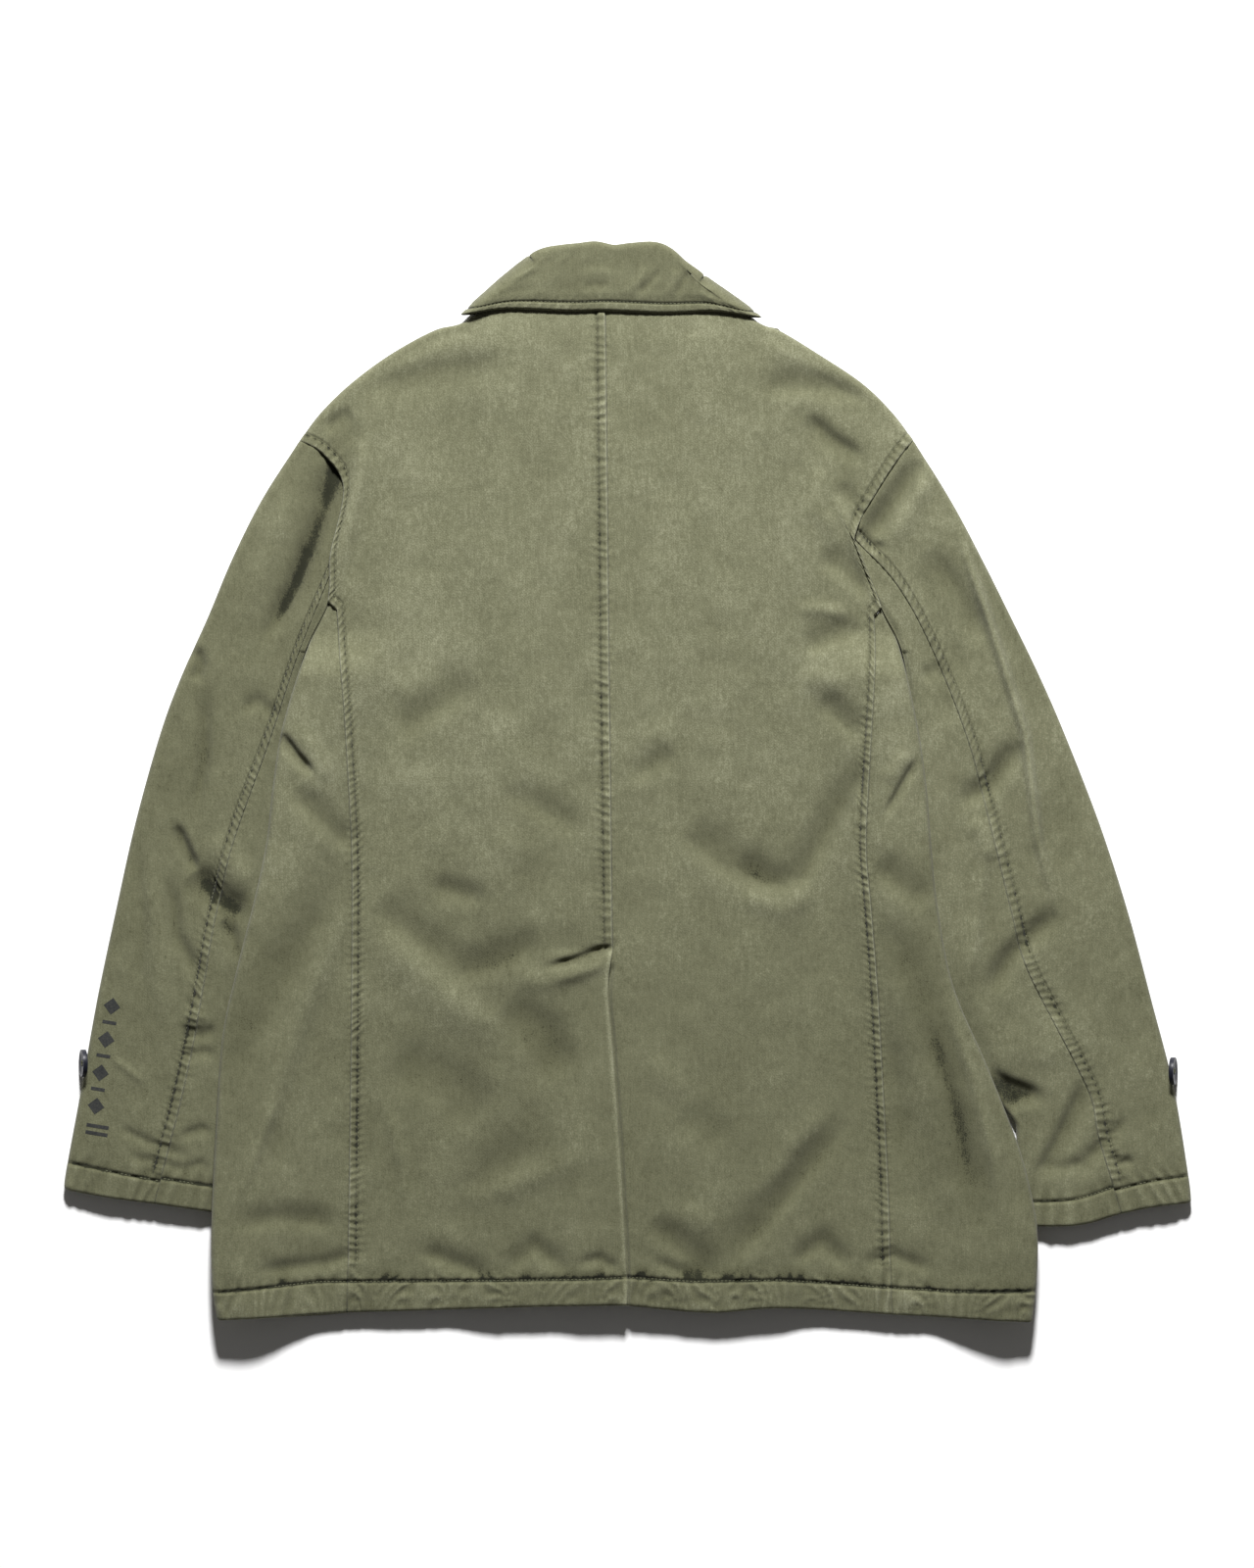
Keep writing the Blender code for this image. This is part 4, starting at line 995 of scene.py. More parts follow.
CUFF_START = 200.0              # sets a cuff's gathers going at another place
CUFF_CLEAR = 8.0                # the back seam's ridge ends this far above the band
# painted shade along a sleeve's top edge, where it meets the body
MOUTH_SHADE = 0.2
SLEEVE_BAND = 8.2
SLEEVE_ROWS = 370
SLEEVE_COLUMNS = {"upper": 54, "under": 30}
SLEEVE_SEED = {"left": 91, "right": 95}
CUFF_SEED = 81
FRONT_SEAM_SHARE = 0.33
TOP_FACE = edge(SEAM_TURN, SEAM_STEPS[:8])

# Creases of the sleeves, as for the body.
SLEEVE_CREASES = (
    (-3.2, 8, 8, -236, 259, -227, 247, -222, 231),
    (-5.0, 6, 9, -215, 264, -224, 234, -233, 208),
    (-3.2, 12, 10, -214, 271, -238, 201, -259, 148, -281, 103),
    (-4.6, 5, 6, -229, 223, -242, 181, -256, 148, -278, 109),
    (-1.4, 5, 5, -244, 193, -256, 151, -269, 118),
    (1.8, 9, 9, -256, 246, -267, 201, -284, 156, -301, 118),
    (-3.6, 5, 5, -331, 103, -328, 90, -332, 76),
    (-1.8, 6, 6, -331, 73, -326, 28, -331, -17),
    (-5.0, 4, 5, -347, -33, -338, -53, -331, -69),
    (-6.4, 11, 11, -334, -69, -316, -87, -289, -105),
    (-2.4, 6, 6, -331, -69, -314, -87, -296, -101),
    (-6.0, 6, 6, -311, -105, -302, -119, -295, -137),
    (2.0, 10, 10, -322, -39, -305, -62, -284, -84),
    (-3.2, 6, 6, -352, -71, -346, -119, -325, -155),
    (1.6, 8, 8, -368, -62, -362, -122, -357, -189),
    (-1.6, 6, 6, -376, -47, -372, -107, -376, -167),
    (-2.6, 5, 6, -343, -191, -327, -194, -314, -189),
    (1.6, 5, 5, -341, -180, -323, -179),
    (-2.2, 5, 5, -343, -211, -327, -207, -314, -210),
    (-2.0, 4, 5, -343, -272, -327, -266, -314, -270),
    (-1.6, 4, 5, -341, -296, -327, -293, -317, -299),
    (1.0, 3, 3, -396, -212, -385, -219, -371, -231),
    (-1.6, 4, 4, -392, -264, -368, -276, -338, -287),
    (-1.4, 4, 4, -383, -287, -361, -291, -335, -299),
    (-2.6, 6, 6, -298, 55, -284, 61, -266, 48),
    (-2.2, 5, 5, -323, 73, -325, 13, -334, -32),
    (-6.0, 6, 9, 224, 246, 206, 217, 182, 184),
    (-3.6, 4, 4, 176, 193, 187, 181, 197, 178),
    (1.8, 8, 8, 233, 240, 217, 208, 198, 178),
    (-4.6, 9, 11, 229, 178, 250, 148, 273, 106),
    (4.6, 4, 4, 247, 208, 277, 121, 304, 36, 314, -47, 329, -99),
    (-2.0, 12, 10, 277, 156, 314, 58, 332, -17, 341, -77),
    (-1.8, 8, 8, 218, 167, 238, 133, 258, 73),
    (-6.0, 9, 7, 254, -17, 277, -2, 302, 31),
    (2.4, 8, 8, 260, -29, 271, -39, 277, -62),
    (-6.0, 8, 7, 277, -161, 293, -134, 329, -99),
    (1.8, 5, 5, 274, -48, 267, -107, 260, -159),
    (1.6, 20, 14, 284, -201, 314, -204, 344, -201),
    (-8.0, 6, 7, 269, -224, 292, -234, 317, -243),
    (-7.0, 7, 7, 277, -233, 290, -243, 302, -246),
    (-4.6, 6, 9, 313, -305, 332, -272, 353, -227),
    (-2.6, 8, 8, 341, -305, 361, -281, 367, -257),
    (-3.2, 4, 4, 367, -287, 378, -292, 388, -290),
    (-2.0, 5, 5, 350, -291, 370, -272, 382, -257),
    (-1.8, 5, 5, 314, -294, 333, -296, 352, -290),
    (-1.6, 7, 7, 311, -155, 323, -170, 332, -185),
    (-1.6, 6, 6, 224, 118, 235, 88, 248, 43),
    (1.6, 10, 8, 352, 73, 374, -17, 397, -107),
    (-2.0, 6, 6, 224, 81, 235, 85, 245, 81),
)


def sleeve_face(x, y):
    """Height and painted shading of a sleeve's upper face, flatter where the body lies on it."""
    clear = np.ones_like(x)
    for side, sign in SIDES:
        beyond = sign * (x - line_x(SIDE_EDGE[side], y))
        beside = np.where(y > SLEEVE_FREE_FROM, SLEEVE_CLEAR, beyond)
        clear = np.where(sign * x > 0, ease((beside + 2) / SLEEVE_CLEAR), clear)
    folds = settled(creases(x, y, SLEEVE_CREASES))
    soft = rumpled(x, y, SLEEVE_SOFT)
    height = 2 * WALL + SLEEVE_SQUASHED + (SLEEVE_GAP - SLEEVE_SQUASHED + folds + soft) * clear
    low_down = ease((SLEEVE_LOW_FROM - y) / SLEEVE_LOW_RAMP)
    low_down = np.where(x < 0, SLEEVE_LOW_SHADE["left"], SLEEVE_LOW_SHADE["right"] * low_down)
    return height, fold_shading(folds) + SOFT_SHADING * soft - low_down


def cuff_band(from_cuff, along, seed):
    """The filled band at the cuff, below its stitched groove, with its painted shading."""
    above = from_cuff - CUFF_BAND
    gathers = pucker(slanted(along, above, seed), seed, CUFF_PITCH)
    fine = pucker(slanted(along, -above, seed + 3), seed + 3, CUFF_FINE_PITCH)
    inside = ease(-above / 1.6)
    groove = bell(above, GROOVE_WIDTH)
    swell = inside * (CUFF_FILL + CUFF_GATHERS * gathers + CUFF_FINE * fine) - CUFF_SINK * groove
    beyond = (above > 0) * bell(above - 2.0, CUFF_BEYOND_REACH) * CUFF_BEYOND
    beyond = beyond * (gathers - BEYOND_MEAN)
    # Gathers painted paler as highlight; painted shade in the groove and between the gathers
    # above it.
    shade = GATHER_SHADING * inside * (gathers - GATHER_MEAN) - GROOVE_SHADE * groove
    return swell + beyond, shade + 0.45 * np.minimum(beyond, 0)


def ground_level(x, y):
    """A sleeve lies on the surface itself."""
    return np.zeros_like(x)


sleeves = []
for side, _ in SIDES:
    outer, seam_line, inner = (line(table[side]) for table in
                               (SLEEVE_OUTER, SLEEVE_BACK_SEAM, SLEEVE_INNER))
    for part, last_line, low_arm, cuff_points in (
            ("upper", outer, ARMHOLE_HIGH[side], CUFF[side][CUFF_SPLIT:]),
            ("under", inner, ARMHOLE_LOW[side][::-1], CUFF[side][CUFF_SPLIT::-1])):
        length = 0.5 * (seam_line.length + last_line.length)
        rows, row_drop = stepped(TOP_FACE, HEM_FACE, length, SLEEVE_ROWS)
        rows = rows[0]
        v = rows / length
        last_at = last_line(v)[:, None]
        front_seam = inner(v) + (seam_line(v) - inner(v)) * FRONT_SEAM_SHARE
        width = np.hypot(*(seam_line(v) - last_line(v)).T)
        columns = SLEEVE_COLUMNS[part]
        low_line, cuff_line = line(low_arm), line(cuff_points)

        def over(u):
            return coons(seam_line, last_line, low_line, cuff_line, u,
                         np.broadcast_to(v[:, None], u.shape))

        def beneath(u):
            return last_at + (front_seam[:, None] - last_at) * u[None, :, None]

        def face(x, y, across):
            height, marks = sleeve_face(x, y)
            along = np.broadcast_to(rows[:, None], x.shape)
            from_cuff = length - along
            band, band_shade = cuff_band(from_cuff, across + CUFF_START,
                                         CUFF_SEED + len(sleeves))
            clear = ease((from_cuff - CUFF_BAND - 2) / CUFF_CLEAR)
            if part == "upper":
                seam = seam_band(across, along, SLEEVE_SEED[side], SLEEVE_BAND)
                wear_and_shade = band_wear_and_shade(across, along, SLEEVE_SEED[side], SLEEVE_BAND) * clear
            else:
                seam = seam_side(across, along, SLEEVE_SEED[side])
                wear_and_shade = SEAM_SHADING * seam
            # The cuff band's and seam's wear and painted shading, and painted shade along the
            # top edge.
            return (height + band + seam * clear,
                    marks + band_shade + wear_and_shade - MOUTH_SHADE * bell(along, 0.9))

        points, marks = wrapped(over, beneath, width, row_drop, columns, face, ground_level)
        half = add_sheet(f"shell_sleeve_{part}_{side}", points, marks, shell_twill)
        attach(half, "root")
        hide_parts(f"sleeve_{part}_{side}")
        declare(points)
        topmost = points[:, :columns]
        to_cuff = np.broadcast_to(rows, (columns, len(rows))) - (length - CUFF_BAND)
        stitch_lines.append(crossing(topmost.transpose(1, 0, 2), to_cuff))
        if part == "upper":
            reach = np.hypot(*(topmost[..., :2] - topmost[:, :1, :2]).transpose(2, 0, 1))
            sewn_here = (rows < length - CUFF_BAND - 6)[:, None]
            stitch_lines.append(crossing(topmost, np.where(sewn_here, reach - SLEEVE_BAND, 1.0)))
        sleeves.append(half)

# ---------------------------------------------------------------------------
# The two fronts, which the coat lies on: plain hidden panels, the left one over the
# right one. The vent's underlap is a narrow strip under the left back's folded edge.

FRONT_REACH = {"left": 65.0, "right": -85.0}
FRONT_COLUMNS, FRONT_ROWS = 60, 110
FRONT_HEM = {"far": -397.0, "middle": -400.0}       # hidden behind the back's hem
FRONT_MIDDLE = (120.0, -100.0)
FRONT_NECK = 349.0
FRONT_SOFT = (30.0, 51)
STEP_CLEAR = 24.0
FRONT_FACE = edge(HEM_TURN, HEM_STEPS[:3])

for side, sign in SIDES:
    first = joined(line(FRONT_SEAM[side]), armhole(side))
    reach = FRONT_REACH[side]
    last = line(((reach, FRONT_HEM["far"]), (reach, FRONT_MIDDLE[1]), (reach, FRONT_NECK)))
    hem = line((first(0.0), (sign * FRONT_MIDDLE[0], FRONT_HEM["middle"]), last(0.0)))
    shoulder = [p for p in SHOULDER[side] if p[1] < FRONT_NECK - 1]
    neck = line((*shoulder, (shoulder[-1][0] * 0.8, FRONT_NECK), (reach, FRONT_NECK)))
    length = 0.5 * (first.length + last.length)
    rows, row_rise = stepped(FRONT_FACE, TIP, length, FRONT_ROWS)
    v = rows[0] / length
    width = np.hypot(*(first(v) - last(v)).T)
    across, column_rise = stepped(TIP, FRONT_FACE, width, FRONT_COLUMNS)
    plane = coons(first, last, hem, neck, across / width[:, None],
                  np.broadcast_to(v[:, None], across.shape))
    x, y = plane[..., 0], plane[..., 1]
    height = lift(x, y)
    if side == "right":
        past = x - FRONT_REACH["left"] - STEP_CLEAR
        height = height + (WALL + LAYER_GAP) * (1 - ease(past / LAP_RAMP))
    height = height + row_rise[:, None] + column_rise[None]
    points = np.dstack((x, y, height))
    front = add_sheet(f"shell_front_{side}", points, 0.15 * rumple(x, y, *FRONT_SOFT),
                      shell_twill, upward=False)
    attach(front, "root")
    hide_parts(f"front_{side}")
    declare(points)

UNDERLAP_WIDTH = 38.0
UNDERLAP_PAST = 1.0     # how far it shows beyond the folded edge
UNDERLAP_DROP = 4.4
# The underlap is painted darker, as shade under the folded edge.
UNDERLAP_SHADE = -0.3
UNDERLAP_COLUMNS, UNDERLAP_ROWS = 14, 90
UNDERLAP_ENDS = (0.004, 0.985)          # it stays just inside the vent's two ends
share_across = np.linspace(0.0, 1.0, UNDERLAP_COLUMNS)
share_up = np.linspace(*UNDERLAP_ENDS, UNDERLAP_ROWS)
lap_edge = line(VENT_EDGE)(share_up)
x = lap_edge[:, :1] - UNDERLAP_WIDTH * (1 - share_across)[None] + UNDERLAP_PAST
y = np.broadcast_to(lap_edge[:, 1:], x.shape)
points = np.dstack((x, y, body_face(x, y)[0] - UNDERLAP_DROP))
underlap = add_sheet("shell_vent_underlap", points, np.full(x.shape, UNDERLAP_SHADE), shell_twill)
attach(underlap, "root")
declare(points)

# ---------------------------------------------------------------------------
# The collar: stand and fall in one band, folded over along the top and round the
# neck. Its fall has a stitched edge and lies on the back.

COLLAR_EDGE = ((-121.0, 358.0), (-93.0, 361.5), (-46.7, 359.7), (-18.0, 360.0),
               (28.0, 358.2), (65.0, 359.6), (95.0, 356.0))
COLLAR_FOLD = ((-71.5, 395.5), (-64.0, 401.5), (-54.0, 405.6), (-38.0, 407.5),
               (-24.9, 408.8), (-11.4, 406.2), (2.0, 407.6), (18.6, 408.5),
               (30.0, 404.5), (42.0, 393.5), (53.5, 380.0))
COLLAR_WALL = 3.8
COLLAR_MIDDLE = 10.0
STAND_FACE = 0.5
FALL_FACE = 6.2
STAND_DEPTH = 0.62      # how far down the stand goes, as a share of the fall
COLLAR_STITCH = 7.5
COLLAR_FADE = -0.34
COLLAR_REACH = 1.85     # the fold's roll reaches further where it goes round the neck
# The fall thins towards its edge: columns distance in from the edge, and how much.
COLLAR_THIN = np.array(((0.0, 3.5), (0.35, 2.7), (1.1, 2.1), (2.0, 1.8), (7.5, 1.1),
                        (14.0, 0.0)))
CORNER_REACH, CORNER_ROUNDS = 11, 32     # how the fold's two ends are softened
COLLAR_TURNS = {-1: ((-0.75, 0.66), (-1.0, -0.1)), 1: ((0.75, 0.66), (1.0, -0.1))}
BACK_STATIONS, TURN_STATIONS, ARM_STATIONS = 260, 22, 40
COLLAR_FRONT = -10.0    # where its two ends meet underneath, and half the gap there
COLLAR_FRONT_GAP = 1.5
FRONT_FOLD, FRONT_EDGE = (0, 402.0), (0, 354.0)
UPRIGHT = math.pi / 2
TURN_STRETCH = 10.0     # length round the neck that a turn of one radian takes
BACK_END, ROLL_END = 8, 6       # the turning starts in this part of the back's length
FALL_SLOPE = 14.0       # over this far from its edge the fall's creases fade out
COLLAR_SEED = 131
COLLAR_SOFT = ((0.45, 19.0, 17), (0.3, 9.0, 18))
COLLAR_CREASES = (
    (-1.3, 3.0, 3.0, 8.0, 373.0, 16.0, 381.0, 25.0, 391.0),
    (0.9, 3.0, 3.0, 3.0, 376.0, 10.0, 386.0, 14.0, 394.0),
    (-1.1, 2.6, 2.6, 37.0, 371.0, 41.0, 380.0, 45.0, 390.0),
    (0.9, 3.0, 3.0, 31.0, 372.0, 34.0, 381.0, 37.0, 392.0),
    (-1.2, 3.2, 3.2, -90.0, 388.0, -80.0, 394.0, -70.0, 401.0),
    (0.7, 3.2, 3.2, -92.0, 383.0, -80.0, 388.0, -66.0, 394.0),
    (-0.9, 3.2, 3.2, -36.0, 377.0, -26.0, 380.0, -14.0, 379.0),
    (0.7, 4.0, 4.0, -40.0, 386.0, -24.0, 390.0, -8.0, 388.0),
    (-0.7, 2.6, 2.6, 60.0, 376.0, 66.0, 372.0, 73.0, 368.0),
    (0.7, 2.4, 2.4, 54.0, 376.0, 60.0, 370.0, 66.0, 368.0),
)


def collar_path():
    """Stations round the neck: fold, edge, the ways the fold and the faces turn, the
    faces' height angle, and how far the roll of the fold reaches."""
    shares = np.linspace(0, 1, BACK_STATIONS)
    folds, edges = line(COLLAR_FOLD)(shares), line(COLLAR_EDGE)(shares)
    arms = []
    for end, sign in ((0, -1), (-1, 1)):
        turns = COLLAR_TURNS[sign]
        fold, low = folds[end], edges[end]
        axis = (fold - low) / np.hypot(*(fold - low))
        arm = []
        for angle in np.linspace(UPRIGHT, -UPRIGHT, TURN_STATIONS)[1:]:
            swung = ease((UPRIGHT - angle) / (math.pi / 5))
            up = np.array(turns[0]) * (1 - swung) + axis * swung
            arm.append((fold, low, up, *turns, angle, 1 + (COLLAR_REACH - 1) * (1 - swung)))
        meeting = np.array((COLLAR_FRONT + sign * COLLAR_FRONT_GAP, 0.0))
        for part in np.linspace(0, 1, ARM_STATIONS)[1:]:
            at_fold = fold * (1 - part) + part * (meeting + FRONT_FOLD)
            at_low = low * (1 - part) + part * (meeting + FRONT_EDGE)
            up = axis * (1 - part) + np.array((0, 1)) * part
            arm.append((at_fold, at_low, up, *turns, -UPRIGHT, 1.0))
        arms.append(arm)
    run = np.gradient(folds, axis=0)
    normal = np.column_stack((-run[:, 1], run[:, 0])) / np.hypot(*run.T)[:, None]
    back = []
    for share, fold, low, up in zip(shares, folds, edges, normal):
        for end, sign in ((0, -1), (1, 1)):
            near = 1 - ease(abs(share - end) * BACK_END)
            up = up * (1 - near) + np.array(COLLAR_TURNS[sign][0]) * near
        near_end = 1 - ease(min(share, 1 - share) * ROLL_END)
        back.append((fold, low, up, (0, 1), (0, 1), UPRIGHT,
                     1 + (COLLAR_REACH - 1) * near_end))
    return arms[0][::-1] + back + arms[1]


def collar_section(fold, low, up, turn_fold, turn_edge, angle, reach, around):
    """One section: the outer path from the fall's edge over the fold to the stand's,
    then the inner path back."""
    up = up / np.hypot(*up)
    deep = np.hypot(*(fold - low))
    stand_top = 0.5 * (STAND_FACE + FALL_FACE + COLLAR_WALL)
    bend = stand_top - STAND_FACE
    inward = np.concatenate(([0.0, 0.35, 1.1], np.arange(2.0, 12.0, 0.8),
                             np.linspace(13.0, deep, 26)))
    tuck = np.interp(inward, COLLAR_THIN[:, 0], COLLAR_THIN[:, 1])
    part = 1 - inward / deep
    swing = np.radians(np.arange(75, -90, -15))
    stand = np.linspace(0.0, STAND_DEPTH, 12)
    level, off = np.zeros(len(part)), np.zeros(len(stand))
    parts = np.concatenate((part, np.zeros(len(swing)), stand))
    faces = np.concatenate((FALL_FACE + COLLAR_WALL - tuck, stand_top + bend * np.sin(swing),
                            off + STAND_FACE))
    inner = np.concatenate((FALL_FACE - 0.5 * (1 - ease(inward / FALL_SLOPE)),
                            stand_top + (bend - COLLAR_WALL) * np.sin(swing),
                            off + STAND_FACE + COLLAR_WALL))
    roll = np.cos(swing) * reach
    past = np.concatenate((level, bend * roll, off))
    inner_past = np.concatenate((level, (bend - COLLAR_WALL) * roll, off))
    turn = (1 - parts)[:, None] * np.array(turn_fold) + parts[:, None] * np.array(turn_edge)
    turn = turn / np.hypot(*turn.T)[:, None]
    from_edge = np.concatenate((inward, np.full(len(parts) - len(part), deep)))
    round_neck = np.full(len(parts), around)
    at = fold + parts[:, None] * (low - fold)
    gathers = pucker(round_neck, COLLAR_SEED)
    above = from_edge - COLLAR_STITCH
    on_fall = np.concatenate((level + 1, 0.5 + 0.5 * np.sin(swing), off))
    swell = ease((COLLAR_STITCH - 0.6 - from_edge) / 1.2) * (0.3 + 0.9 * gathers)
    groove = 0.9 * bell(above, 0.9)
    relief = on_fall * (swell * ease((from_edge - 0.4) / 1.2) - groove
                        + 0.6 * (gathers - GATHER_MEAN) * bell(above - 2.5, 2.5))
    folds = creases(at[:, 0], at[:, 1], COLLAR_CREASES) * (math.sin(angle) > 0.99)
    folds = folds * ease((deep - from_edge) / FALL_SLOPE)
    soft = rumpled(round_neck, from_edge, COLLAR_SOFT)
    relief = relief + on_fall * ease((from_edge - 2) / 10) * (folds + soft)
    # Painted shading of the fall: swell painted paler as highlight, painted shade in the groove,
    # creases and soft hills shaded as on the body.
    marks = on_fall * (0.4 * swell - groove + 0.14 * folds + 0.15 * soft) + COLLAR_FADE

    def place(face, beyond):
        flat = at + beyond[:, None] * up + (face * math.cos(angle))[:, None] * turn
        return np.column_stack((flat, COLLAR_MIDDLE + face * math.sin(angle)))

    return place(faces + relief, past), place(inner, inner_past), marks


path = collar_path()
angles = np.array([station[5] for station in path])
middles = np.array([0.5 * (station[0] + station[1]) for station in path])
steps = TURN_STRETCH * np.abs(np.diff(angles)) + np.hypot(*np.diff(middles, axis=0).T)
around = np.concatenate(([0.0], np.cumsum(steps)))
sections = [collar_section(*station, s) for station, s in zip(path, around)]
outer_grid, inner_grid, shade = (np.array(part) for part in zip(*sections))
on_back = angles > UPRIGHT - 0.001
for end in np.flatnonzero(on_back[1:] != on_back[:-1]) + 1:
    for grid in (outer_grid, inner_grid):
        part = grid[end - CORNER_REACH:end + CORNER_REACH]
        for _ in range(CORNER_ROUNDS):
            part[1:-1] = 0.25 * part[:-2] + 0.5 * part[1:-1] + 0.25 * part[2:]
loop_points = np.concatenate((outer_grid, inner_grid[:, ::-1]), axis=1)
loop_shade = np.concatenate((shade, shade[:, ::-1] * 0), axis=1)
count = loop_points.shape[1]
index = np.arange(len(path) * count).reshape(len(path), count)
wrap = np.roll(index, -1, axis=1)
quads = np.stack((index[:-1], index[1:], wrap[1:], wrap[:-1]), -1).reshape(-1, 4)
near = np.arange(count // 2 - 1)
cap = np.stack((near, near + 1, count - 2 - near, count - 1 - near), -1)
quads = np.concatenate((quads, cap[:, ::-1], cap + (len(path) - 1) * count))
collar = add_mesh("shell_collar", loop_points.reshape(-1, 3), quads, loop_shade, shell_twill)
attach(collar, "root")
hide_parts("collar")
declare(outer_grid)
fall = outer_grid[np.sin(angles) > 0.6]
reach = np.sqrt(((fall - fall[:, :1]) ** 2).sum(-1))
stitch_lines.append(crossing(fall, reach - COLLAR_STITCH))

# ---------------------------------------------------------------------------
# Topstitching: one row of short stitches in tonal cotton thread in each groove, and
# one more across the lap, which holds it down above the vent.

STITCH_PITCH = 3.0
STITCH_LENGTH = 2.2
STITCH_RADIUS = 0.26
STITCH_SINK = 0.05
VENT_TACK = ((-57.0, -144.5), (-38.0, -138.5), (-14.0, -129.5))
TACK_STEPS = 30

bpy.ops.mesh.primitive_uv_sphere_add(segments=6, ring_count=4, radius=1.0)
pattern = bpy.context.object
pattern_points = np.array([v.co[:] for v in pattern.data.vertices])
pattern_faces = [tuple(f.vertices) for f in pattern.data.polygons]
bpy.ops.object.delete()

tack = line(VENT_TACK)(np.linspace(0, 1, TACK_STEPS))
stitch_lines.append(np.column_stack((tack, body_face(*tack.T)[0])))
vertices, faces = [], []
for seam in stitch_lines:
    if len(seam) < 4:
        continue
    steps = np.sqrt((np.diff(seam, axis=0) ** 2).sum(-1))
    run = np.concatenate(([0.0], np.cumsum(steps)))
    places = np.arange(STITCH_PITCH, run[-1] - STITCH_PITCH, STITCH_PITCH)
    for start in places:
        a, b = (np.array([np.interp(s, run, seam[:, k]) for k in range(3)])
                for s in (start, start + STITCH_LENGTH))
        ahead = (b - a) / np.linalg.norm(b - a)
        sideways = np.cross((0, 0, 1), ahead)
        sideways = sideways / np.linalg.norm(sideways)
        axes = np.array((sideways * STITCH_RADIUS,
                         np.cross(ahead, sideways) * STITCH_RADIUS,
                         ahead * STITCH_LENGTH / 2))
        middle = 0.5 * (a + b) + (0, 0, STITCH_RADIUS - STITCH_SINK)
        offset = len(vertices) * len(pattern_points)
        vertices.append(middle + pattern_points @ axes)
        faces += [tuple(i + offset for i in f) for f in pattern_faces]

sewing_mesh = bpy.data.meshes.new("topstitching")
sewing_mesh.from_pydata((np.vstack(vertices) * MM).tolist(), [], faces)
sewing_mesh.shade_smooth()
thread, thread_tree, thread_shader = new_material("tonal_thread", {"Roughness": 0.8})
colour_ramp(thread_tree, thread_shader, noise_node(thread_tree, 180.0),
            ((0.0, (0.085, 0.086, 0.045, 1)), (1.0, (0.19, 0.195, 0.115, 1))))
sewing_mesh.materials.append(thread)
sewing = bpy.data.objects.new("topstitching", sewing_mesh)
bpy.context.collection.objects.link(sewing)
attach(sewing, "root")

# ---------------------------------------------------------------------------
# The two cuff buttons: polished and dished, with a rolled rim and four holes, sewn on
# with a few turns of thread. They stand on edge at the sleeve's side.

BUTTON_DIAMETER = 21.0
BUTTON_THICKNESS = 3.5
# The dish, ring by ring from the rim: columns width, and how far it sinks.
BUTTON_DISH = ((1.7, 0.0), (0.9, 0.5), (1.2, 0.5), (2.4, 0.1))
BUTTON_HOLE = 1.1
HOLE_CIRCLE = 2.45
RIM_ROUNDING = 0.45
BUTTON_TILT = math.radians(15.0)
BUTTON_SHIFT = 3.2
BUTTON_PLACES = {"left": -215.6, "right": -221.6}
BUTTON_SIDES, HOLE_SIDES = 64, 20
BUTTON_GAP = {"left": 0.8, "right": 1.7}
THREAD_TURN = 1.75
THREAD_THICK = 0.42
THREAD_SINK = 0.7
EDGE_HEIGHT = 2 * WALL + SLEEVE_GAP

gloss, gloss_tree, gloss_shader = new_material("button_gloss", {
    "Specular IOR Level": 0.25, "Coat Weight": 0.05, "Coat Roughness": 0.3})
gloss_noise = noise_node(gloss_tree, 420.0)
colour_ramp(gloss_tree, gloss_shader, gloss_noise,
            ((0.0, (0.006, 0.007, 0.012, 1)), (1.0, (0.014, 0.015, 0.024, 1))))
gloss_rough = gloss_tree.nodes.new("ShaderNodeMapRange")
gloss_rough.inputs["To Min"].default_value = 0.34
gloss_rough.inputs["To Max"].default_value = 0.5
gloss_tree.links.new(gloss_noise, gloss_rough.inputs["Value"])
gloss_tree.links.new(gloss_rough.outputs["Result"], gloss_shader.inputs["Roughness"])


def applied(piece, modifier):
    """Makes a modifier part of the mesh."""
    with bpy.context.temp_override(object=piece, active_object=piece):
        bpy.ops.object.modifier_apply(modifier=modifier.name)


bpy.ops.mesh.primitive_cylinder_add(vertices=BUTTON_SIDES, radius=BUTTON_DIAMETER / 2 * MM,
                                    depth=BUTTON_THICKNESS * MM)
pattern = bpy.context.object
bpy.ops.object.mode_set(mode="EDIT")
bpy.ops.mesh.select_all(action="DESELECT")
bpy.ops.object.mode_set(mode="OBJECT")
for face in pattern.data.polygons:
    face.select = face.normal.z > 0.9
bpy.ops.object.mode_set(mode="EDIT")
for ring, sink in BUTTON_DISH:
    bpy.ops.mesh.inset(thickness=ring * MM, depth=-sink * MM)
bpy.ops.object.mode_set(mode="OBJECT")
for quarter in range(4):
    angle = math.pi * (0.25 + 0.5 * quarter)
    bpy.ops.mesh.primitive_cylinder_add(
        vertices=HOLE_SIDES, radius=BUTTON_HOLE * MM, depth=4 * BUTTON_THICKNESS * MM,
        location=(HOLE_CIRCLE * math.cos(angle) * MM, HOLE_CIRCLE * math.sin(angle) * MM, 0))
    drill = bpy.context.object
    bpy.context.view_layer.objects.active = pattern
    bore = pattern.modifiers.new("hole", "BOOLEAN")
    bore.operation = "DIFFERENCE"
    bore.object = drill
    bore.solver = "EXACT"
    applied(pattern, bore)
    bpy.data.objects.remove(drill, do_unlink=True)
soften = pattern.modifiers.new("rim", "BEVEL")
soften.width = RIM_ROUNDING * MM
soften.segments = 3
soften.limit_method = "ANGLE"
soften.angle_limit = math.radians(35)
applied(pattern, soften)
pattern.data.shade_smooth()

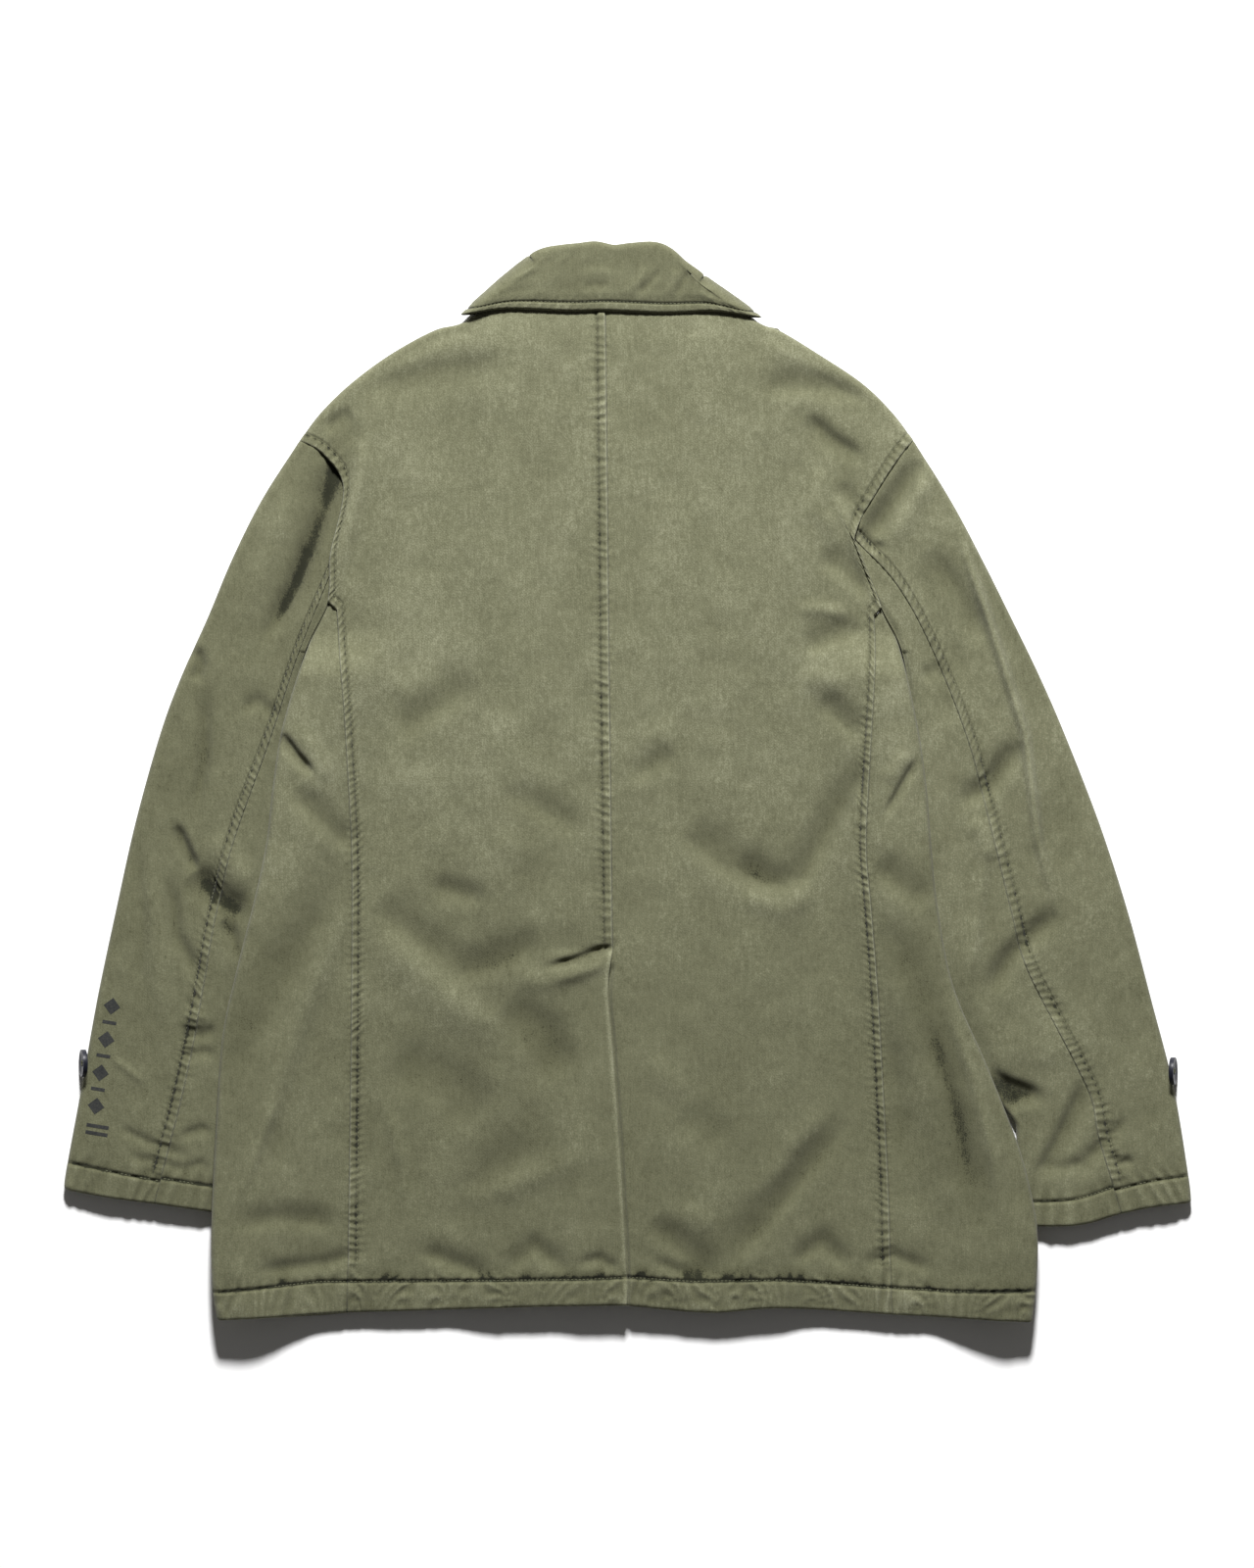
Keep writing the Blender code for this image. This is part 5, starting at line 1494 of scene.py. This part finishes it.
bpy.ops.mesh.primitive_torus_add(major_radius=THREAD_TURN * MM, minor_radius=THREAD_THICK * MM,
                                 major_segments=24, minor_segments=8)
thread_turn = bpy.context.object


def placed_copy(original, name, seat, turn, material):
    """A copy with a mesh of its own, turned and moved to its seat in millimetres."""
    piece = original.copy()
    piece.data = original.data.copy()
    piece.name = name
    points = np.array([v.co[:] for v in original.data.vertices]) / MM
    placed = ((seat + points @ turn) * MM).astype(np.float32)
    piece.data.vertices.foreach_set("co", placed.ravel())
    piece.data.materials.clear()
    piece.data.materials.append(material)
    bpy.context.collection.objects.link(piece)
    return piece


for side, sign in SIDES:
    y = BUTTON_PLACES[side]
    radius = EDGE_HEIGHT / 2
    edge_x = float(line_x(SLEEVE_OUTER[side][::-1], y))
    out = np.array((sign * math.cos(BUTTON_TILT), 0.0, math.sin(BUTTON_TILT)))
    up = np.array((-sign * math.sin(BUTTON_TILT), 0.0, math.cos(BUTTON_TILT)))
    turn = np.array((up, np.cross(out, up), out))
    middle = np.array((edge_x - sign * radius, y, radius))
    seat = middle + (radius + BUTTON_GAP[side]) * out + BUTTON_SHIFT * up
    button = placed_copy(pattern, f"cuff_button_{side}", seat + out * BUTTON_THICKNESS / 2,
                         turn, gloss)
    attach(button, "root")
    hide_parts(f"button_{side}")
    sewn = placed_copy(thread_turn, f"button_thread_{side}",
                       seat + out * (BUTTON_THICKNESS - THREAD_SINK), turn, thread)
    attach(sewn, "root")
bpy.data.objects.remove(pattern, do_unlink=True)
bpy.data.objects.remove(thread_turn, do_unlink=True)

# ---------------------------------------------------------------------------
# A small dark motif printed near the left cuff: diamonds and bars in a column. It
# follows the cloth, a seventh of a millimetre above it.

PRINT_LIFT = 0.14
# Columns: x, y, half width, half length, and whether it stands on its point.
MOTIF = (
    (-395.6, -172.0, 4.6, 4.6, True),
    (-397.6, -184.5, 5.4, 1.3, False),
    (-400.0, -197.5, 4.6, 4.6, True),
    (-402.2, -210.0, 5.4, 1.3, False),
    (-404.4, -223.0, 4.6, 4.6, True),
    (-406.4, -235.5, 5.4, 1.3, False),
    (-407.8, -248.5, 4.6, 4.6, True),
    (-406.6, -264.0, 8.6, 1.4, False),
    (-407.4, -269.5, 8.6, 1.4, False),
)
MOTIF_LEAN = math.radians(-9.0)
PRINT_STEPS = 12

ink, ink_tree, ink_shader = new_material("printed_ink", {"Roughness": 0.75})
colour_ramp(ink_tree, ink_shader, noise_node(ink_tree, 700.0, 4.0),
            ((0.35, (0.009, 0.010, 0.011, 1)), (0.75, (0.030, 0.032, 0.026, 1))))

bpy.context.view_layer.update()
from_middle = np.linspace(-1, 1, PRINT_STEPS)
motif_points, motif_faces = [], []
for x, y, half_width, half_length, on_point in MOTIF:
    turn = MOTIF_LEAN + (math.pi / 4 if on_point else 0.0)
    a, b = np.meshgrid(from_middle * half_width, from_middle * half_length)
    px = x + a * math.cos(turn) - b * math.sin(turn)
    py = y + a * math.sin(turn) + b * math.cos(turn)
    motif_faces.append(grid_faces(PRINT_STEPS, PRINT_STEPS) + len(motif_points))
    for at_x, at_y in zip(px.ravel(), py.ravel()):
        found, place, _, _ = sleeves[0].ray_cast(Vector((at_x * MM, at_y * MM, 0.1)),
                                                 Vector((0, 0, -1)))
        height = place.z / MM if found else 2 * WALL
        motif_points.append((at_x, at_y, height + PRINT_LIFT))
motif = add_mesh("cuff_motif", np.array(motif_points), np.vstack(motif_faces),
                 np.zeros(len(motif_points)), ink)
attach(motif, "root")
